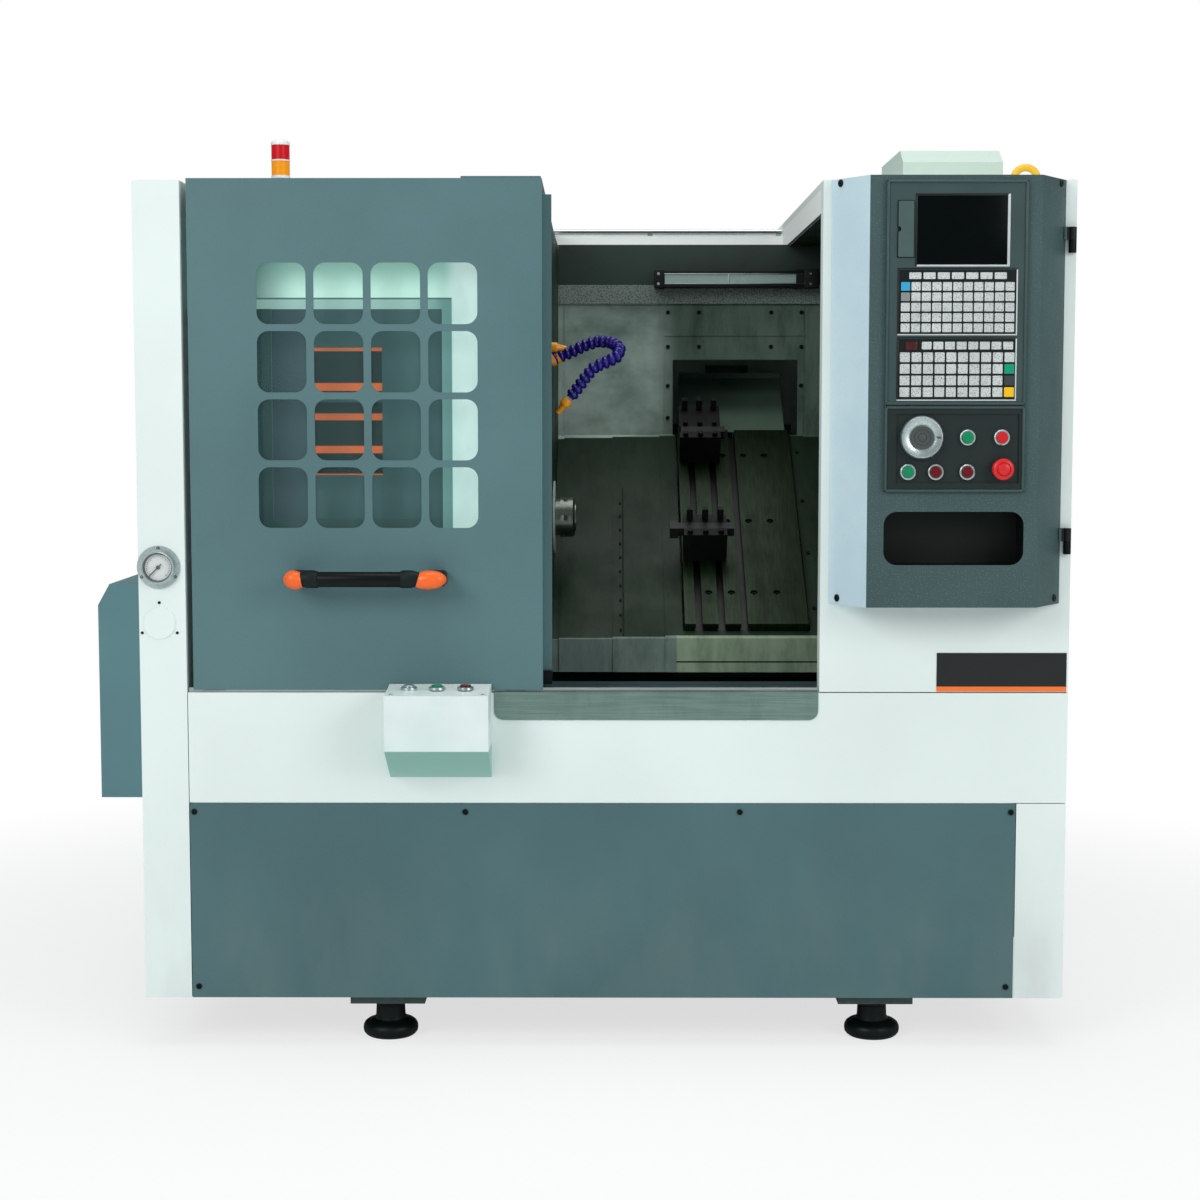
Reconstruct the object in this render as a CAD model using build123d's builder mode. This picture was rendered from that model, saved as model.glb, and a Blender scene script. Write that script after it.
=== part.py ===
from build123d import *
import os
from math import cos, pi, radians, sin

# Slant-bed turning and milling machine with gang tools, a sliding door and a control pendant.
# +X points to the operator's right, +Y away from the operator, +Z up. Millimetres.
# The origin lies on the floor under the middle of the machine.

os.makedirs("parts", exist_ok=True)

# Enclosure
SHEET = 2.5
LEFT_X = -811.0
RIGHT_X = 958.0
FRONT_Y = -555.0
BACK_Y = 692.0
BODY_BOTTOM_Z = 97.0
BODY_TOP_Z = 1656.0
POST_WIDTH = 89.0
POST_RETURN = 67.5
APRON_BOTTOM_Z = 478.0
APRON_TOP_Z = 690.0
SEAM = 1.5
LOWER_PANEL_RIGHT_X = 862.0
COLUMN_X = 484.0
COLUMN_RETURN = 45.0
LOW_ROOF_Z = 1598.0
REAR_ROOF_Z = 1628.0
REAR_ROOF_Y = 402.0

# Levelling feet
FOOT_XS = (-347.5, 602.0)
FOOT_YS = (-462.0, 490.0)
FOOT_PLATE_X = 145.0
FOOT_PLATE_Y = 124.0
FOOT_PLATE_THICKNESS = 22.0
PAD_RADIUS = 54.0
STUD_RADIUS = 8.0

# Sloping bed, with s up the slope and n square to it
SLOPE_DEG = 35.0
SPINDLE_Y = -155.0
SPINDLE_Z = 1006.0
SPINDLE_HEIGHT = 90.0
BED_N = -200.0
BED_LEFT_X = -480.0
BED_RIGHT_X = 700.0
BED_WALL = 20.0
BED_DECK_Z = 340.0
BED_LEDGE_Z = 518.0
BED_FRONT_Y = -520.0
BED_BACK_Y = 560.0
BED_LEDGE_Y = -290.0
BED_LOW_S = -250.0
BED_HIGH_S = 610.0
TANK_BAY_X = (-262.0, 520.0)

# Spindle and its drive
SHAFT_RADIUS = 35.0
BEARING_RADIUS = 55.0
NOSE_RADIUS = 38.0
NOSE_END_X = -18.0
NUT_RADIUS = 41.0
SPINDLE_FACE_X = 12.5
COLLET_RADIUS = 29.9
COLLET_SEAT = 44.0
COLLET_TAIL = 40.0
COLLET_BORE_RADIUS = 15.0
SPINDLE_BORE_RADIUS = 23.0
HEADSTOCK_X = (-420.0, -110.0)
HEADSTOCK_HALF = 120.0
HOUSING_RADIUS = 75.0
RUNNING_GAP = 0.08
BELT_X = (-548.0, -502.0)
SPINDLE_PULLEY_RADIUS = 75.0
MOTOR_PULLEY_RADIUS = 60.0
BELT_THICKNESS = 6.0
PULLEY_FLANGE = 4.0
MOTOR_Y = 40.0
MOTOR_Z = 650.0
MOTOR_SHAFT_RADIUS = 21.0
MOTOR_SQUARE = 200.0
MOTOR_LEFT_X = -930.0
MOTOR_PLATE_X = (-588.0, -573.0)

# Saddle on the bed and tool slide on the saddle
SADDLE_X = (215.0, 509.0)
SADDLE_S = (-230.0, 600.0)
SADDLE_N = (-150.0, -100.0)
Z_RAIL_S = (-110.0, 270.0)
Z_RAIL_X = (-60.0, 690.0)
Z_RAIL_WIDTH = 34.0
Z_RAIL_HEIGHT = 28.0
RAIL_GAP = 0.3
Z_SCREW_S = 80.0
Z_SCREW_N = -172.0
Z_SCREW_RADIUS = 14.0
X_RAIL_XS = (276.0, 448.0)
X_RAIL_WIDTH = 30.0
X_RAIL_HEIGHT = 26.0
X_SCREW_X = 362.0
X_SCREW_N = -85.0
X_SCREW_RADIUS = 12.0
SLAB_THICKNESS = 32.0
PLATE_X = (237.0, 487.0)
PLATE_S = (-236.0, 437.0)
PLATE_THICKNESS = 28.0
SLOT_XS = (266.0, 312.0, 358.0)
SLOT_WIDTH = 14.0
SLOT_HEAD = 22.0
SLOT_THROAT = 11.0
SLOT_DEPTH = 19.0
PLATE_BOLT_XS = (288.5, 335.0, 381.5, 428.0)
PLATE_BOLT_SS = (-136.5, 102.4, 338.7)

# Way covers, nested below one another
COVER_N = -16.0
COVER_SHEET = 1.5
COVER_STEP = 2.0
COVER_WALL_Y = 268.0
COVER_LOW_S = -262.0
COVER_LIP_Z = 700.0
COVER_TOP_Z = 1470.0
SADDLE_COVER_X = (197.0, 523.0)
OUTER_COVER_XS = ((91.0, 211.0), (509.0, 641.0))
MIDDLE_COVER_XS = ((-18.0, 126.0), (546.0, 695.0))
FIXED_COVER_XS = ((-105.0, 35.0), (600.0, 750.0))
GUARD_OPENING_X = (227.0, 510.0)
GUARD_OPENING_Z = 1341.0

# Work chamber
CHAMBER_LEFT_X = -34.0
CHAMBER_RIGHT_X = 655.0
CHAMBER_FRONT_Y = -490.0
CHAMBER_BOTTOM_Z = 700.0
LEDGE_Z = (1466.0, 1508.0)
LEDGE_THICKNESS = 8.0
LAMP_X = (186.0, 520.0)
LAMP_Z = (1500.0, 1538.0)
LAMP_DEPTH = 40.0
TRAY_X = (-60.0, 650.0)
TRAY_Y = (-498.0, -296.0)
TRAY_TOP_Z = 680.0

# Sliding door
DOOR_X = (-710.0, -43.0)
DOOR_SETBACK = 4.0
DOOR_BOTTOM_Z = 695.0
DOOR_TOP_Z = 1660.0
DOOR_ROOF_BACK_Y = 395.0
DOOR_ROOF_BACK_Z = 1632.0
DOOR_RETURN = 43.5
FLANGE_WIDTH = 17.0
FLANGE_Z = (702.0, 1634.0)
RAISED_ROOF_X = (-195.0, -45.0)
RAISED_ROOF_HEIGHT = 4.0
WINDOW_X = -372.5
WINDOW_Z = 1254.0
PANE_COUNT = 4
PANE_PITCH_X = 107.6
PANE_PITCH_Z = 128.0
PANE_WIDTH = 93.0
PANE_HEIGHT = 115.0
PANE_RADIUS = 22.0
GLAZING_THICKNESS = 5.0
GLAZING_MARGIN = 17.0
HANDLE_X = (-523.0, -220.0)
HANDLE_Z = 911.0
HANDLE_REACH = 60.0
HANDLE_RADIUS = 15.0
HANDLE_LEG_WIDTHS = (35.0, 44.0)
HANDLE_LEG_HEIGHT = 36.0
GUIDE_RADIUS = 5.0
GUIDE_Z = 1638.0
GUIDE_YS = (402.5, 488.0)
LOWER_RAIL_Y = (-545.0, -533.0)
LOWER_RAIL_Z = (692.0, 699.0)
SHOE_XS = (-670.0, -95.0)

# Front fittings
SILL_X = (-136.0, 482.0)
SILL_BOTTOM_Z = 638.0
SILL_THICKNESS = 2.0
SILL_RADIUS = 18.0
BOX_X = (-335.0, -141.0)
BOX_FRONT_Y = -665.0
BOX_FRONT_Z = (593.0, 698.0)
BOX_BACK_Z = (527.5, 707.0)
BOX_WALL = 3.0
BOX_BUTTON_Y = -610.0
BOX_BUTTON_XS = (-293.0, -240.4, -186.7)
BEZEL_RADIUS = 15.0
BUTTON_RADIUS = 10.5
BUTTON_HOLE_RADIUS = 11.0
BUTTON_RISE = 5.0
BUTTON_STEM = 30.0
GAUGE_X = -772.0
GAUGE_Z = 930.0
GAUGE_FLANGE_RADIUS = 41.0
GAUGE_RADIUS = 31.5
GAUGE_DEPTH = 16.0
BLANK_COVER_Z = 824.0
BLANK_COVER_RADIUS = 31.0
NAME_PLATE_X = (707.0, 954.0)
NAME_PLATE_Z = (693.0, 767.0)
POD_X = -960.0
POD_Y = (-255.0, 330.0)
POD_Z = (434.0, 874.0)
POD_CHAMFER = (24.0, 43.0)
SCREW_RADIUS = 5.5
SCREW_HEIGHT = 3.0

# Control pendant
PENDANT_X = (500.0, 937.0)
PENDANT_FACE_X = (560.0, 875.0)
PENDANT_Z = (862.0, 1655.0)
PENDANT_DEPTH = 94.0
PENDANT_GAP = 1.0
PENDANT_WALL = 3.0
HINGE_X = 949.0
HINGE_Y = -563.0
HINGE_RADIUS = 7.4
PIN_RADIUS = 3.0
HINGE_ZS = ((956.0, 1005.0), (1520.0, 1568.0))
UNIT_X = (593.0, 845.0)
UNIT_Z = (1238.5, 1642.0)
OPERATOR_Z = (1080.0, 1236.0)
UNIT_PROUD = 6.0
SCREEN_X = (645.0, 813.0)
SCREEN_Z = (1492.0, 1618.0)
FLAP_X = (611.0, 639.0)
FLAP_Z = (1506.0, 1607.0)
FLAP_THICKNESS = 3.5
KEY_HEIGHT = 1.2
OPERATOR_RECESS_X = (612.0, 838.0)
OPERATOR_RECESS_Z = (1093.0, 1220.0)
OPERATOR_RECESS = 3.0
WHEEL_CENTRE = (658.0, 1177.0)
WHEEL_RADIUS = 40.0
ESTOP_CENTRE = (807.0, 1119.0)
ESTOP_RADIUS = 20.0
CUBBY_X = (591.0, 850.0)
CUBBY_Z = (941.0, 1040.0)
CUBBY_RADIUS = 25.0
CUBBY_DEPTH = 84.0

# Roof, rear and services
TOWER_X = -691.5
TOWER_Y = 520.0
TOWER_RADIUS = 22.5
TOWER_LENS_HEIGHT = 34.0
TOWER_LENS_Z = 1778.0
HOOD_X = (692.0, 899.0)
HOOD_Y = (-105.0, 250.0)
HOOD_Z = (1739.0, 1768.0)
EYE_X = 927.0
EYE_Y = -205.0
CABINET_X = (600.0, 930.0)
CABINET_Z = (420.0, 1500.0)
CABINET_DEPTH = 124.0
TANK_X = (-240.0, 490.0)
TANK_Y = (80.0, 676.0)
TANK_Z = (112.0, 250.0)
HOSE_RADIUS = 12.0
HOSE_POINTS = (
    (-34, -330, 1326), (-12, -330, 1334), (10, -330, 1343), (35, -331, 1355), (62, -335, 1363),
    (88, -350, 1361), (104, -374, 1349), (100, -394, 1332), (80, -402, 1321), (58, -404, 1311),
    (42, -404, 1293), (28, -402, 1274), (13, -400, 1255), (-2, -400, 1236),
)

# Tool blocks, the shank grooves in them and their clamp screws, and the plate's own way cover
TOOL_BLOCK_X = (239.0, 329.0)
LOWER_BLOCK_S = (-32.5, 37.5)
UPPER_BLOCK_S = (313.6, 435.6)
TOOL_BLOCK_HEIGHT = 68.0
SHANK = 20.0
SHANK_INSET = 22.0
CLAMP_XS = (252.0, 284.0, 316.0)
CLAMP_WIDTH = 12.0
CLAMP_HEIGHT = 26.0
PLATE_COVER_LENGTH = 218.0

# Push buttons on the operator plate
BUTTONS = {
    "button_start": (743.0, 1177.0),
    "button_hold": (806.0, 1177.0),
    "button_power_on": (634.0, 1113.5),
    "button_power_off": (685.0, 1113.5),
    "button_reset": (743.0, 1113.5),
}

# Values worked out from the ones above
POST_RIGHT_X = LEFT_X + POST_WIDTH
DOOR_Y = FRONT_Y + DOOR_SETBACK
PENDANT_BACK_Y = FRONT_Y - PENDANT_GAP
PENDANT_FACE_Y = PENDANT_BACK_Y - PENDANT_DEPTH
UNIT_FACE_Y = PENDANT_FACE_Y - UNIT_PROUD
OPERATOR_FACE_Y = UNIT_FACE_Y + OPERATOR_RECESS
SLOPE_Y = SPINDLE_Y + SPINDLE_HEIGHT * sin(radians(SLOPE_DEG))
SLOPE_Z = SPINDLE_Z - SPINDLE_HEIGHT * cos(radians(SLOPE_DEG))
SLOPE = Plane(
    origin=(0, SLOPE_Y, SLOPE_Z),
    x_dir=(1, 0, 0),
    z_dir=(0, -sin(radians(SLOPE_DEG)), cos(radians(SLOPE_DEG))),
)


def slope_point(s, n):
    """Give (y, z) of a point at s up the slope and n above the tool plate's face."""
    angle = radians(SLOPE_DEG)
    return (SLOPE_Y + s * cos(angle) - n * sin(angle), SLOPE_Z + s * sin(angle) + n * cos(angle))


def slope_s(y, n):
    """Give the distance up the slope at which the level n reaches the place y."""
    angle = radians(SLOPE_DEG)
    return (y - SLOPE_Y + n * sin(angle)) / cos(angle)


def middle(pair):
    return (pair[0] + pair[1]) / 2


def block(x, y, z, mode=Mode.ADD):
    """Add a box that spans the pairs x, y and z to the piece being built."""
    with Locations((middle(x), middle(y), middle(z))):
        Box(x[1] - x[0], y[1] - y[0], z[1] - z[0], mode=mode)


def slope_block(x, s, n, mode=Mode.ADD):
    """Add a box that spans x, s up the slope and n square to it."""
    with Locations(SLOPE.location * Location((middle(x), middle(s), middle(n)))):
        Box(x[1] - x[0], s[1] - s[0], n[1] - n[0], mode=mode)


def rod_x(x, y, z, radius, mode=Mode.ADD):
    with Locations((middle(x), y, z)):
        Cylinder(radius, x[1] - x[0], rotation=(0, 90, 0), mode=mode)


def rod_y(x, y, z, radius, mode=Mode.ADD):
    with Locations((x, middle(y), z)):
        Cylinder(radius, y[1] - y[0], rotation=(90, 0, 0), mode=mode)


def rod_z(x, y, z, radius, mode=Mode.ADD):
    with Locations((x, y, middle(z))):
        Cylinder(radius, z[1] - z[0], mode=mode)


def slope_rod(x, s, n, radius, mode=Mode.ADD):
    """Add a rod along s, from s[0] to s[1]."""
    with Locations(SLOPE.location * Location((x, middle(s), n))):
        Cylinder(radius, s[1] - s[0], rotation=(90, 0, 0), mode=mode)


def slope_stud(x, s, n, radius, mode=Mode.ADD):
    """Add a rod square to the slope, from n[0] to n[1]."""
    with Locations(SLOPE.location * Location((x, s, middle(n)))):
        Cylinder(radius, n[1] - n[0], mode=mode)


def prism_x(points, x, mode=Mode.ADD):
    """Add a prism along X from a closed outline of (y, z) points."""
    with BuildSketch(Plane.YZ.offset(x[0])) as outline:
        with BuildLine():
            Polyline(*points, close=True)
        make_face()
    extrude(outline.sketch, amount=x[1] - x[0], mode=mode)


def prism_y(points, y, mode=Mode.ADD):
    """Add a prism along Y from a closed outline of (x, z) points."""
    with BuildSketch(Plane.XZ.offset(-y[1])) as outline:
        with BuildLine():
            Polyline(*points, close=True)
        make_face()
    extrude(outline.sketch, amount=y[1] - y[0], mode=mode)


def prism_z(points, z, mode=Mode.ADD):
    """Add a prism along Z from a closed outline of (x, y) points."""
    with BuildSketch(Plane.XY.offset(z[0])) as outline:
        with BuildLine():
            Polyline(*points, close=True)
        make_face()
    extrude(outline.sketch, amount=z[1] - z[0], mode=mode)


def rounded_slab_y(x, y, z, radius, mode=Mode.ADD):
    """Add a plate that faces the operator, with rounded corners."""
    with BuildSketch(Plane.XZ.offset(-y[1])) as outline:
        with Locations((middle(x), middle(z))):
            RectangleRounded(x[1] - x[0], z[1] - z[0], radius)
    extrude(outline.sketch, amount=y[1] - y[0], mode=mode)


def cover_outline(level):
    """Give the folded section of a way cover, one level below the next."""
    def face(offset):
        n = COVER_N - level * COVER_STEP - offset
        lip_y = slope_point(COVER_LOW_S, COVER_N)[0] + level * COVER_STEP + offset
        wall_y = COVER_WALL_Y + level * COVER_STEP + offset
        return [
            (lip_y, COVER_LIP_Z),
            slope_point(slope_s(lip_y, n), n),
            slope_point(slope_s(wall_y, n), n),
            (wall_y, COVER_TOP_Z),
        ]
    return face(0) + face(COVER_SHEET)[::-1]


def save(piece, name):
    """Label a finished piece and write it."""
    piece.part.label = name
    export_step(piece.part, f"parts/{name}.step")


# Bed casting: two pedestals, a deck and a sloping top, hollow inside
bed_front_top = slope_point(BED_LOW_S, BED_N)
bed_back_top = slope_point(BED_HIGH_S, BED_N)
with BuildPart() as bed:
    prism_x(
        [
            (BED_FRONT_Y, BED_DECK_Z), (BED_FRONT_Y, BED_LEDGE_Z), (BED_LEDGE_Y, BED_LEDGE_Z),
            bed_front_top, bed_back_top, (BED_BACK_Y, bed_back_top[1]), (BED_BACK_Y, BED_DECK_Z),
        ],
        (BED_LEFT_X, BED_RIGHT_X),
    )
    hollow_front = slope_point(BED_LOW_S + 2 * BED_WALL, BED_N - BED_WALL)
    hollow_back = slope_point(BED_HIGH_S - BED_WALL, BED_N - BED_WALL)
    rib_pitch = (BED_RIGHT_X - BED_LEFT_X - BED_WALL) / 4
    for rib in range(4):
        hollow_x = BED_LEFT_X + BED_WALL + rib * rib_pitch
        prism_x(
            [
                (BED_FRONT_Y + BED_WALL, BED_DECK_Z + BED_WALL),
                (BED_FRONT_Y + BED_WALL, BED_LEDGE_Z - BED_WALL),
                (BED_LEDGE_Y, BED_LEDGE_Z - BED_WALL), hollow_front, hollow_back,
                (BED_BACK_Y - BED_WALL, hollow_back[1]), (BED_BACK_Y - BED_WALL, BED_DECK_Z + BED_WALL),
            ],
            (hollow_x, hollow_x + rib_pitch - BED_WALL),
            mode=Mode.SUBTRACT,
        )
    for pedestal_x in ((BED_LEFT_X, TANK_BAY_X[0]), (TANK_BAY_X[1], BED_RIGHT_X)):
        block(pedestal_x, (BED_FRONT_Y, BED_BACK_Y), (BODY_BOTTOM_Z, BED_DECK_Z))
        block(
            (pedestal_x[0] + BED_WALL, pedestal_x[1] - BED_WALL),
            (BED_FRONT_Y + BED_WALL, BED_BACK_Y - BED_WALL),
            (BODY_BOTTOM_Z, BED_DECK_Z),
            mode=Mode.SUBTRACT,
        )
    for foot_x in FOOT_XS:
        for foot_y in FOOT_YS:
            plate_x = (foot_x - FOOT_PLATE_X / 2, foot_x + FOOT_PLATE_X / 2)
            plate_y = (max(BED_FRONT_Y, foot_y - FOOT_PLATE_Y / 2), foot_y + FOOT_PLATE_Y / 2)
            foot_top_z = BODY_BOTTOM_Z + BED_WALL
            block(plate_x, plate_y, (BODY_BOTTOM_Z - FOOT_PLATE_THICKNESS, foot_top_z))
            rod_z(foot_x, foot_y, (0, foot_top_z), STUD_RADIUS + 1, mode=Mode.SUBTRACT)
    block(MOTOR_PLATE_X, (MOTOR_Y - 160, MOTOR_Y + 160), (MOTOR_Z - 130, MOTOR_Z + 110))
    rod_x(MOTOR_PLATE_X, MOTOR_Y, MOTOR_Z, MOTOR_PULLEY_RADIUS, mode=Mode.SUBTRACT)
    for arm_y in (MOTOR_Y - 160, MOTOR_Y + 140):
        block((MOTOR_PLATE_X[1], BED_LEFT_X), (arm_y, arm_y + BED_WALL), (MOTOR_Z - 130, MOTOR_Z + 50))
    for rail_x in ((TANK_BAY_X[0], TANK_X[0] + 14), (TANK_X[1] - 14, TANK_BAY_X[1])):
        block(rail_x, (TANK_Y[0], BED_BACK_Y), (TANK_Z[0] - 12, TANK_Z[0]))
save(bed, "bed")

# Rubber pads, each with its threaded stud and locknut
pad_top_z = BODY_BOTTOM_Z - FOOT_PLATE_THICKNESS
with BuildPart() as leveling_feet:
    for foot_x in FOOT_XS:
        for foot_y in FOOT_YS:
            with BuildSketch(Plane(origin=(foot_x, foot_y, 0), x_dir=(1, 0, 0), z_dir=(0, -1, 0))) as pad:
                with BuildLine():
                    Polyline((0, 0), (PAD_RADIUS - 18, 0))
                    ThreePointArc(
                        (PAD_RADIUS - 18, 0), (PAD_RADIUS - 4, 12), (PAD_RADIUS, 32),
                    )
                    Polyline((PAD_RADIUS, 32), (PAD_RADIUS, pad_top_z - 8), (PAD_RADIUS - 6, pad_top_z))
                    Polyline((PAD_RADIUS - 6, pad_top_z), (0, pad_top_z), (0, 0))
                make_face()
            revolve(pad.sketch, axis=Axis((foot_x, foot_y, 0), (0, 0, 1)))
            rod_z(foot_x, foot_y, (pad_top_z, BODY_BOTTOM_Z + BED_WALL + 40), STUD_RADIUS)
            with BuildSketch(Plane.XY.offset(BODY_BOTTOM_Z + BED_WALL)) as nut:
                with Locations((foot_x, foot_y)):
                    RegularPolygon(STUD_RADIUS * 1.7, 6)
            extrude(nut.sketch, amount=STUD_RADIUS * 1.5)
save(leveling_feet, "leveling_feet")

# Left front post, side sheet and roof strip, folded from sheet, with a blank cover on the post
with BuildPart() as left_enclosure:
    inner_z = (BODY_BOTTOM_Z, BODY_TOP_Z - SHEET)
    side_y = (FRONT_Y + SHEET, BACK_Y - SHEET)
    block((LEFT_X, POST_RIGHT_X), (FRONT_Y, FRONT_Y + SHEET), (BODY_BOTTOM_Z, BODY_TOP_Z))
    block((POST_RIGHT_X - SHEET, POST_RIGHT_X), (FRONT_Y, FRONT_Y + POST_RETURN), inner_z)
    block((LEFT_X, LEFT_X + SHEET), side_y, inner_z)
    block((LEFT_X, POST_RIGHT_X), side_y, (BODY_TOP_Z - SHEET, BODY_TOP_Z))
    block((POST_RIGHT_X - SHEET, POST_RIGHT_X), side_y, (LOW_ROOF_Z - SHEET, BODY_TOP_Z))
    block(
        (LEFT_X, LEFT_X + SHEET),
        (POD_Y[0] + 20, POD_Y[1] - 20),
        (POD_Z[0] + 20, POD_Z[1] - 20),
        mode=Mode.SUBTRACT,
    )
    rod_y(GAUGE_X, (FRONT_Y - 1.5, FRONT_Y), BLANK_COVER_Z, BLANK_COVER_RADIUS)
save(left_enclosure, "left_enclosure")

# Right side sheet with the front strip below the apron
with BuildPart() as right_side_panel:
    block((RIGHT_X - SHEET, RIGHT_X), (FRONT_Y, BACK_Y - SHEET), (BODY_BOTTOM_Z, BODY_TOP_Z))
    strip_z = (BODY_BOTTOM_Z, APRON_BOTTOM_Z - SEAM)
    block((LOWER_PANEL_RIGHT_X + SEAM, RIGHT_X), (FRONT_Y, FRONT_Y + SHEET), strip_z)
save(right_side_panel, "right_side_panel")

# Rear sheet with the bays for the coolant tank and the electrical cabinet, and the cabinet's box
with BuildPart() as rear_panel:
    block((LEFT_X, RIGHT_X), (BACK_Y - SHEET, BACK_Y), (BODY_BOTTOM_Z, REAR_ROOF_Z))
    block(
        (TANK_BAY_X[0], TANK_BAY_X[1]),
        (BACK_Y - SHEET, BACK_Y),
        (BODY_BOTTOM_Z, BED_DECK_Z + 5),
        mode=Mode.SUBTRACT,
    )
    cabinet_y = (BACK_Y - SHEET - CABINET_DEPTH, BACK_Y - SHEET)
    block(CABINET_X, cabinet_y, CABINET_Z)
    block(
        (CABINET_X[0] + SHEET, CABINET_X[1] - SHEET),
        (cabinet_y[0] + SHEET, BACK_Y),
        (CABINET_Z[0] + SHEET, CABINET_Z[1] - SHEET),
        mode=Mode.SUBTRACT,
    )
    plate_y = cabinet_y[0] + SHEET
    for relay_row in range(3):
        row_z = CABINET_Z[0] + 200 + relay_row * 300
        block((CABINET_X[0] + 50, CABINET_X[1] - 50), (plate_y, plate_y + 60), (row_z, row_z + 130))
    for louvre in range(8):
        louvre_z = 900 + louvre * 30
        block((-500, -200), (BACK_Y - SHEET, BACK_Y), (louvre_z, louvre_z + 8), mode=Mode.SUBTRACT)
save(rear_panel, "rear_panel")

# Cabinet door that overlaps its opening, hinged at its outer edge
cabinet_hinge_x = CABINET_X[1] + 14
cabinet_door_y = (BACK_Y + 0.5, BACK_Y + 0.5 + SHEET)
with BuildPart() as cabinet_door:
    block((CABINET_X[0] - 10, cabinet_hinge_x), cabinet_door_y, (CABINET_Z[0] - 10, CABINET_Z[1] + 10))
    for knuckle_z in (CABINET_Z[0] + 150, CABINET_Z[1] - 200):
        rod_z(cabinet_hinge_x, cabinet_door_y[1] + 0.5, (knuckle_z, knuckle_z + 50), SHEET + 0.5)
    for lock_z in (CABINET_Z[0] + 200, CABINET_Z[1] - 250):
        rod_y(CABINET_X[0] + 15, (cabinet_door_y[1], cabinet_door_y[1] + 4), lock_z, 14)
save(cabinet_door, "cabinet_door")

# Apron across the front, with the strip behind its lower edge that carries the lower panel
with BuildPart() as apron:
    apron_x = (POST_RIGHT_X + SEAM, RIGHT_X - SHEET)
    block(apron_x, (FRONT_Y, FRONT_Y + SHEET), (APRON_BOTTOM_Z, APRON_TOP_Z))
    block(apron_x, (FRONT_Y, CHAMBER_FRONT_Y - 8), (APRON_TOP_Z - SHEET, APRON_TOP_Z))
    backing_x = (apron_x[0] + 2 * SHEET, LOWER_PANEL_RIGHT_X - 2 * SHEET)
    backing_z = (APRON_BOTTOM_Z - 16, APRON_BOTTOM_Z + 12)
    block(backing_x, (FRONT_Y + SHEET, FRONT_Y + 2 * SHEET), backing_z)
save(apron, "apron")

# Grey lower front panel
with BuildPart() as lower_front_panel:
    panel_x = (POST_RIGHT_X + SEAM, LOWER_PANEL_RIGHT_X)
    panel_z = (BODY_BOTTOM_Z, APRON_BOTTOM_Z - SEAM)
    block(panel_x, (FRONT_Y, FRONT_Y + SHEET), panel_z)
    for edge_x in (panel_x[0], panel_x[1] - SHEET):
        block((edge_x, edge_x + SHEET), (FRONT_Y, FRONT_Y + 25), panel_z)
save(lower_front_panel, "lower_front_panel")

# Screws of the lower front panel
with BuildPart() as panel_screws:
    for screw_x in (-712, -192, 334, 853):
        rod_y(screw_x, (FRONT_Y - SCREW_HEIGHT, FRONT_Y), APRON_BOTTOM_Z - 18, SCREW_RADIUS)
    for screw_x in (-708, 848):
        rod_y(screw_x, (FRONT_Y - SCREW_HEIGHT, FRONT_Y), BODY_BOTTOM_Z + 22, SCREW_RADIUS)
save(panel_screws, "panel_screws")

# Right column behind the pendant, with a cable opening
with BuildPart() as right_column:
    column_z = (APRON_TOP_Z + SEAM + 0.5, BODY_TOP_Z)
    block((COLUMN_X, RIGHT_X - SHEET), (FRONT_Y, FRONT_Y + SHEET), column_z)
    block(
        (COLUMN_X, COLUMN_X + SHEET),
        (FRONT_Y, FRONT_Y + COLUMN_RETURN),
        (column_z[0], BODY_TOP_Z - SHEET),
    )
    block((640, 800), (FRONT_Y, FRONT_Y + SHEET), (1180, 1460), mode=Mode.SUBTRACT)
save(right_column, "right_column")

# Roof sheets: rear roof with its front beam, low roof over the headstock, right roof and its hood
with BuildPart() as roof_panels:
    right_roof_x = (COLUMN_X, RIGHT_X - SHEET)
    block(
        (POST_RIGHT_X, COLUMN_X),
        (REAR_ROOF_Y, BACK_Y - SHEET),
        (REAR_ROOF_Z - SHEET, REAR_ROOF_Z),
    )
    block((POST_RIGHT_X, COLUMN_X), (REAR_ROOF_Y, REAR_ROOF_Y + SHEET), (LOW_ROOF_Z, REAR_ROOF_Z))
    block(
        (POST_RIGHT_X, CHAMBER_LEFT_X),
        (FRONT_Y + POST_RETURN, REAR_ROOF_Y + SHEET),
        (LOW_ROOF_Z - SHEET, LOW_ROOF_Z),
    )
    roof_y = (FRONT_Y + SHEET, BACK_Y - SHEET)
    block(right_roof_x, roof_y, (BODY_TOP_Z - SHEET, BODY_TOP_Z))
    block(
        (COLUMN_X, COLUMN_X + SHEET),
        (FRONT_Y + COLUMN_RETURN, roof_y[1]),
        (LOW_ROOF_Z, BODY_TOP_Z),
    )
    prism_x(
        [
            (HOOD_Y[0], BODY_TOP_Z), (HOOD_Y[0], HOOD_Z[0]), (HOOD_Y[0] + 50, HOOD_Z[1]),
            (HOOD_Y[1], HOOD_Z[1]), (HOOD_Y[1], BODY_TOP_Z),
        ],
        HOOD_X,
    )
    prism_x(
        [
            (HOOD_Y[0] + SHEET, BODY_TOP_Z), (HOOD_Y[0] + SHEET, HOOD_Z[0] - 2),
            (HOOD_Y[0] + 50, HOOD_Z[1] - SHEET), (HOOD_Y[1] - SHEET, HOOD_Z[1] - SHEET),
            (HOOD_Y[1] - SHEET, BODY_TOP_Z),
        ],
        (HOOD_X[0] + SHEET, HOOD_X[1] - SHEET),
        mode=Mode.SUBTRACT,
    )
save(roof_panels, "roof_panels")

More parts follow.
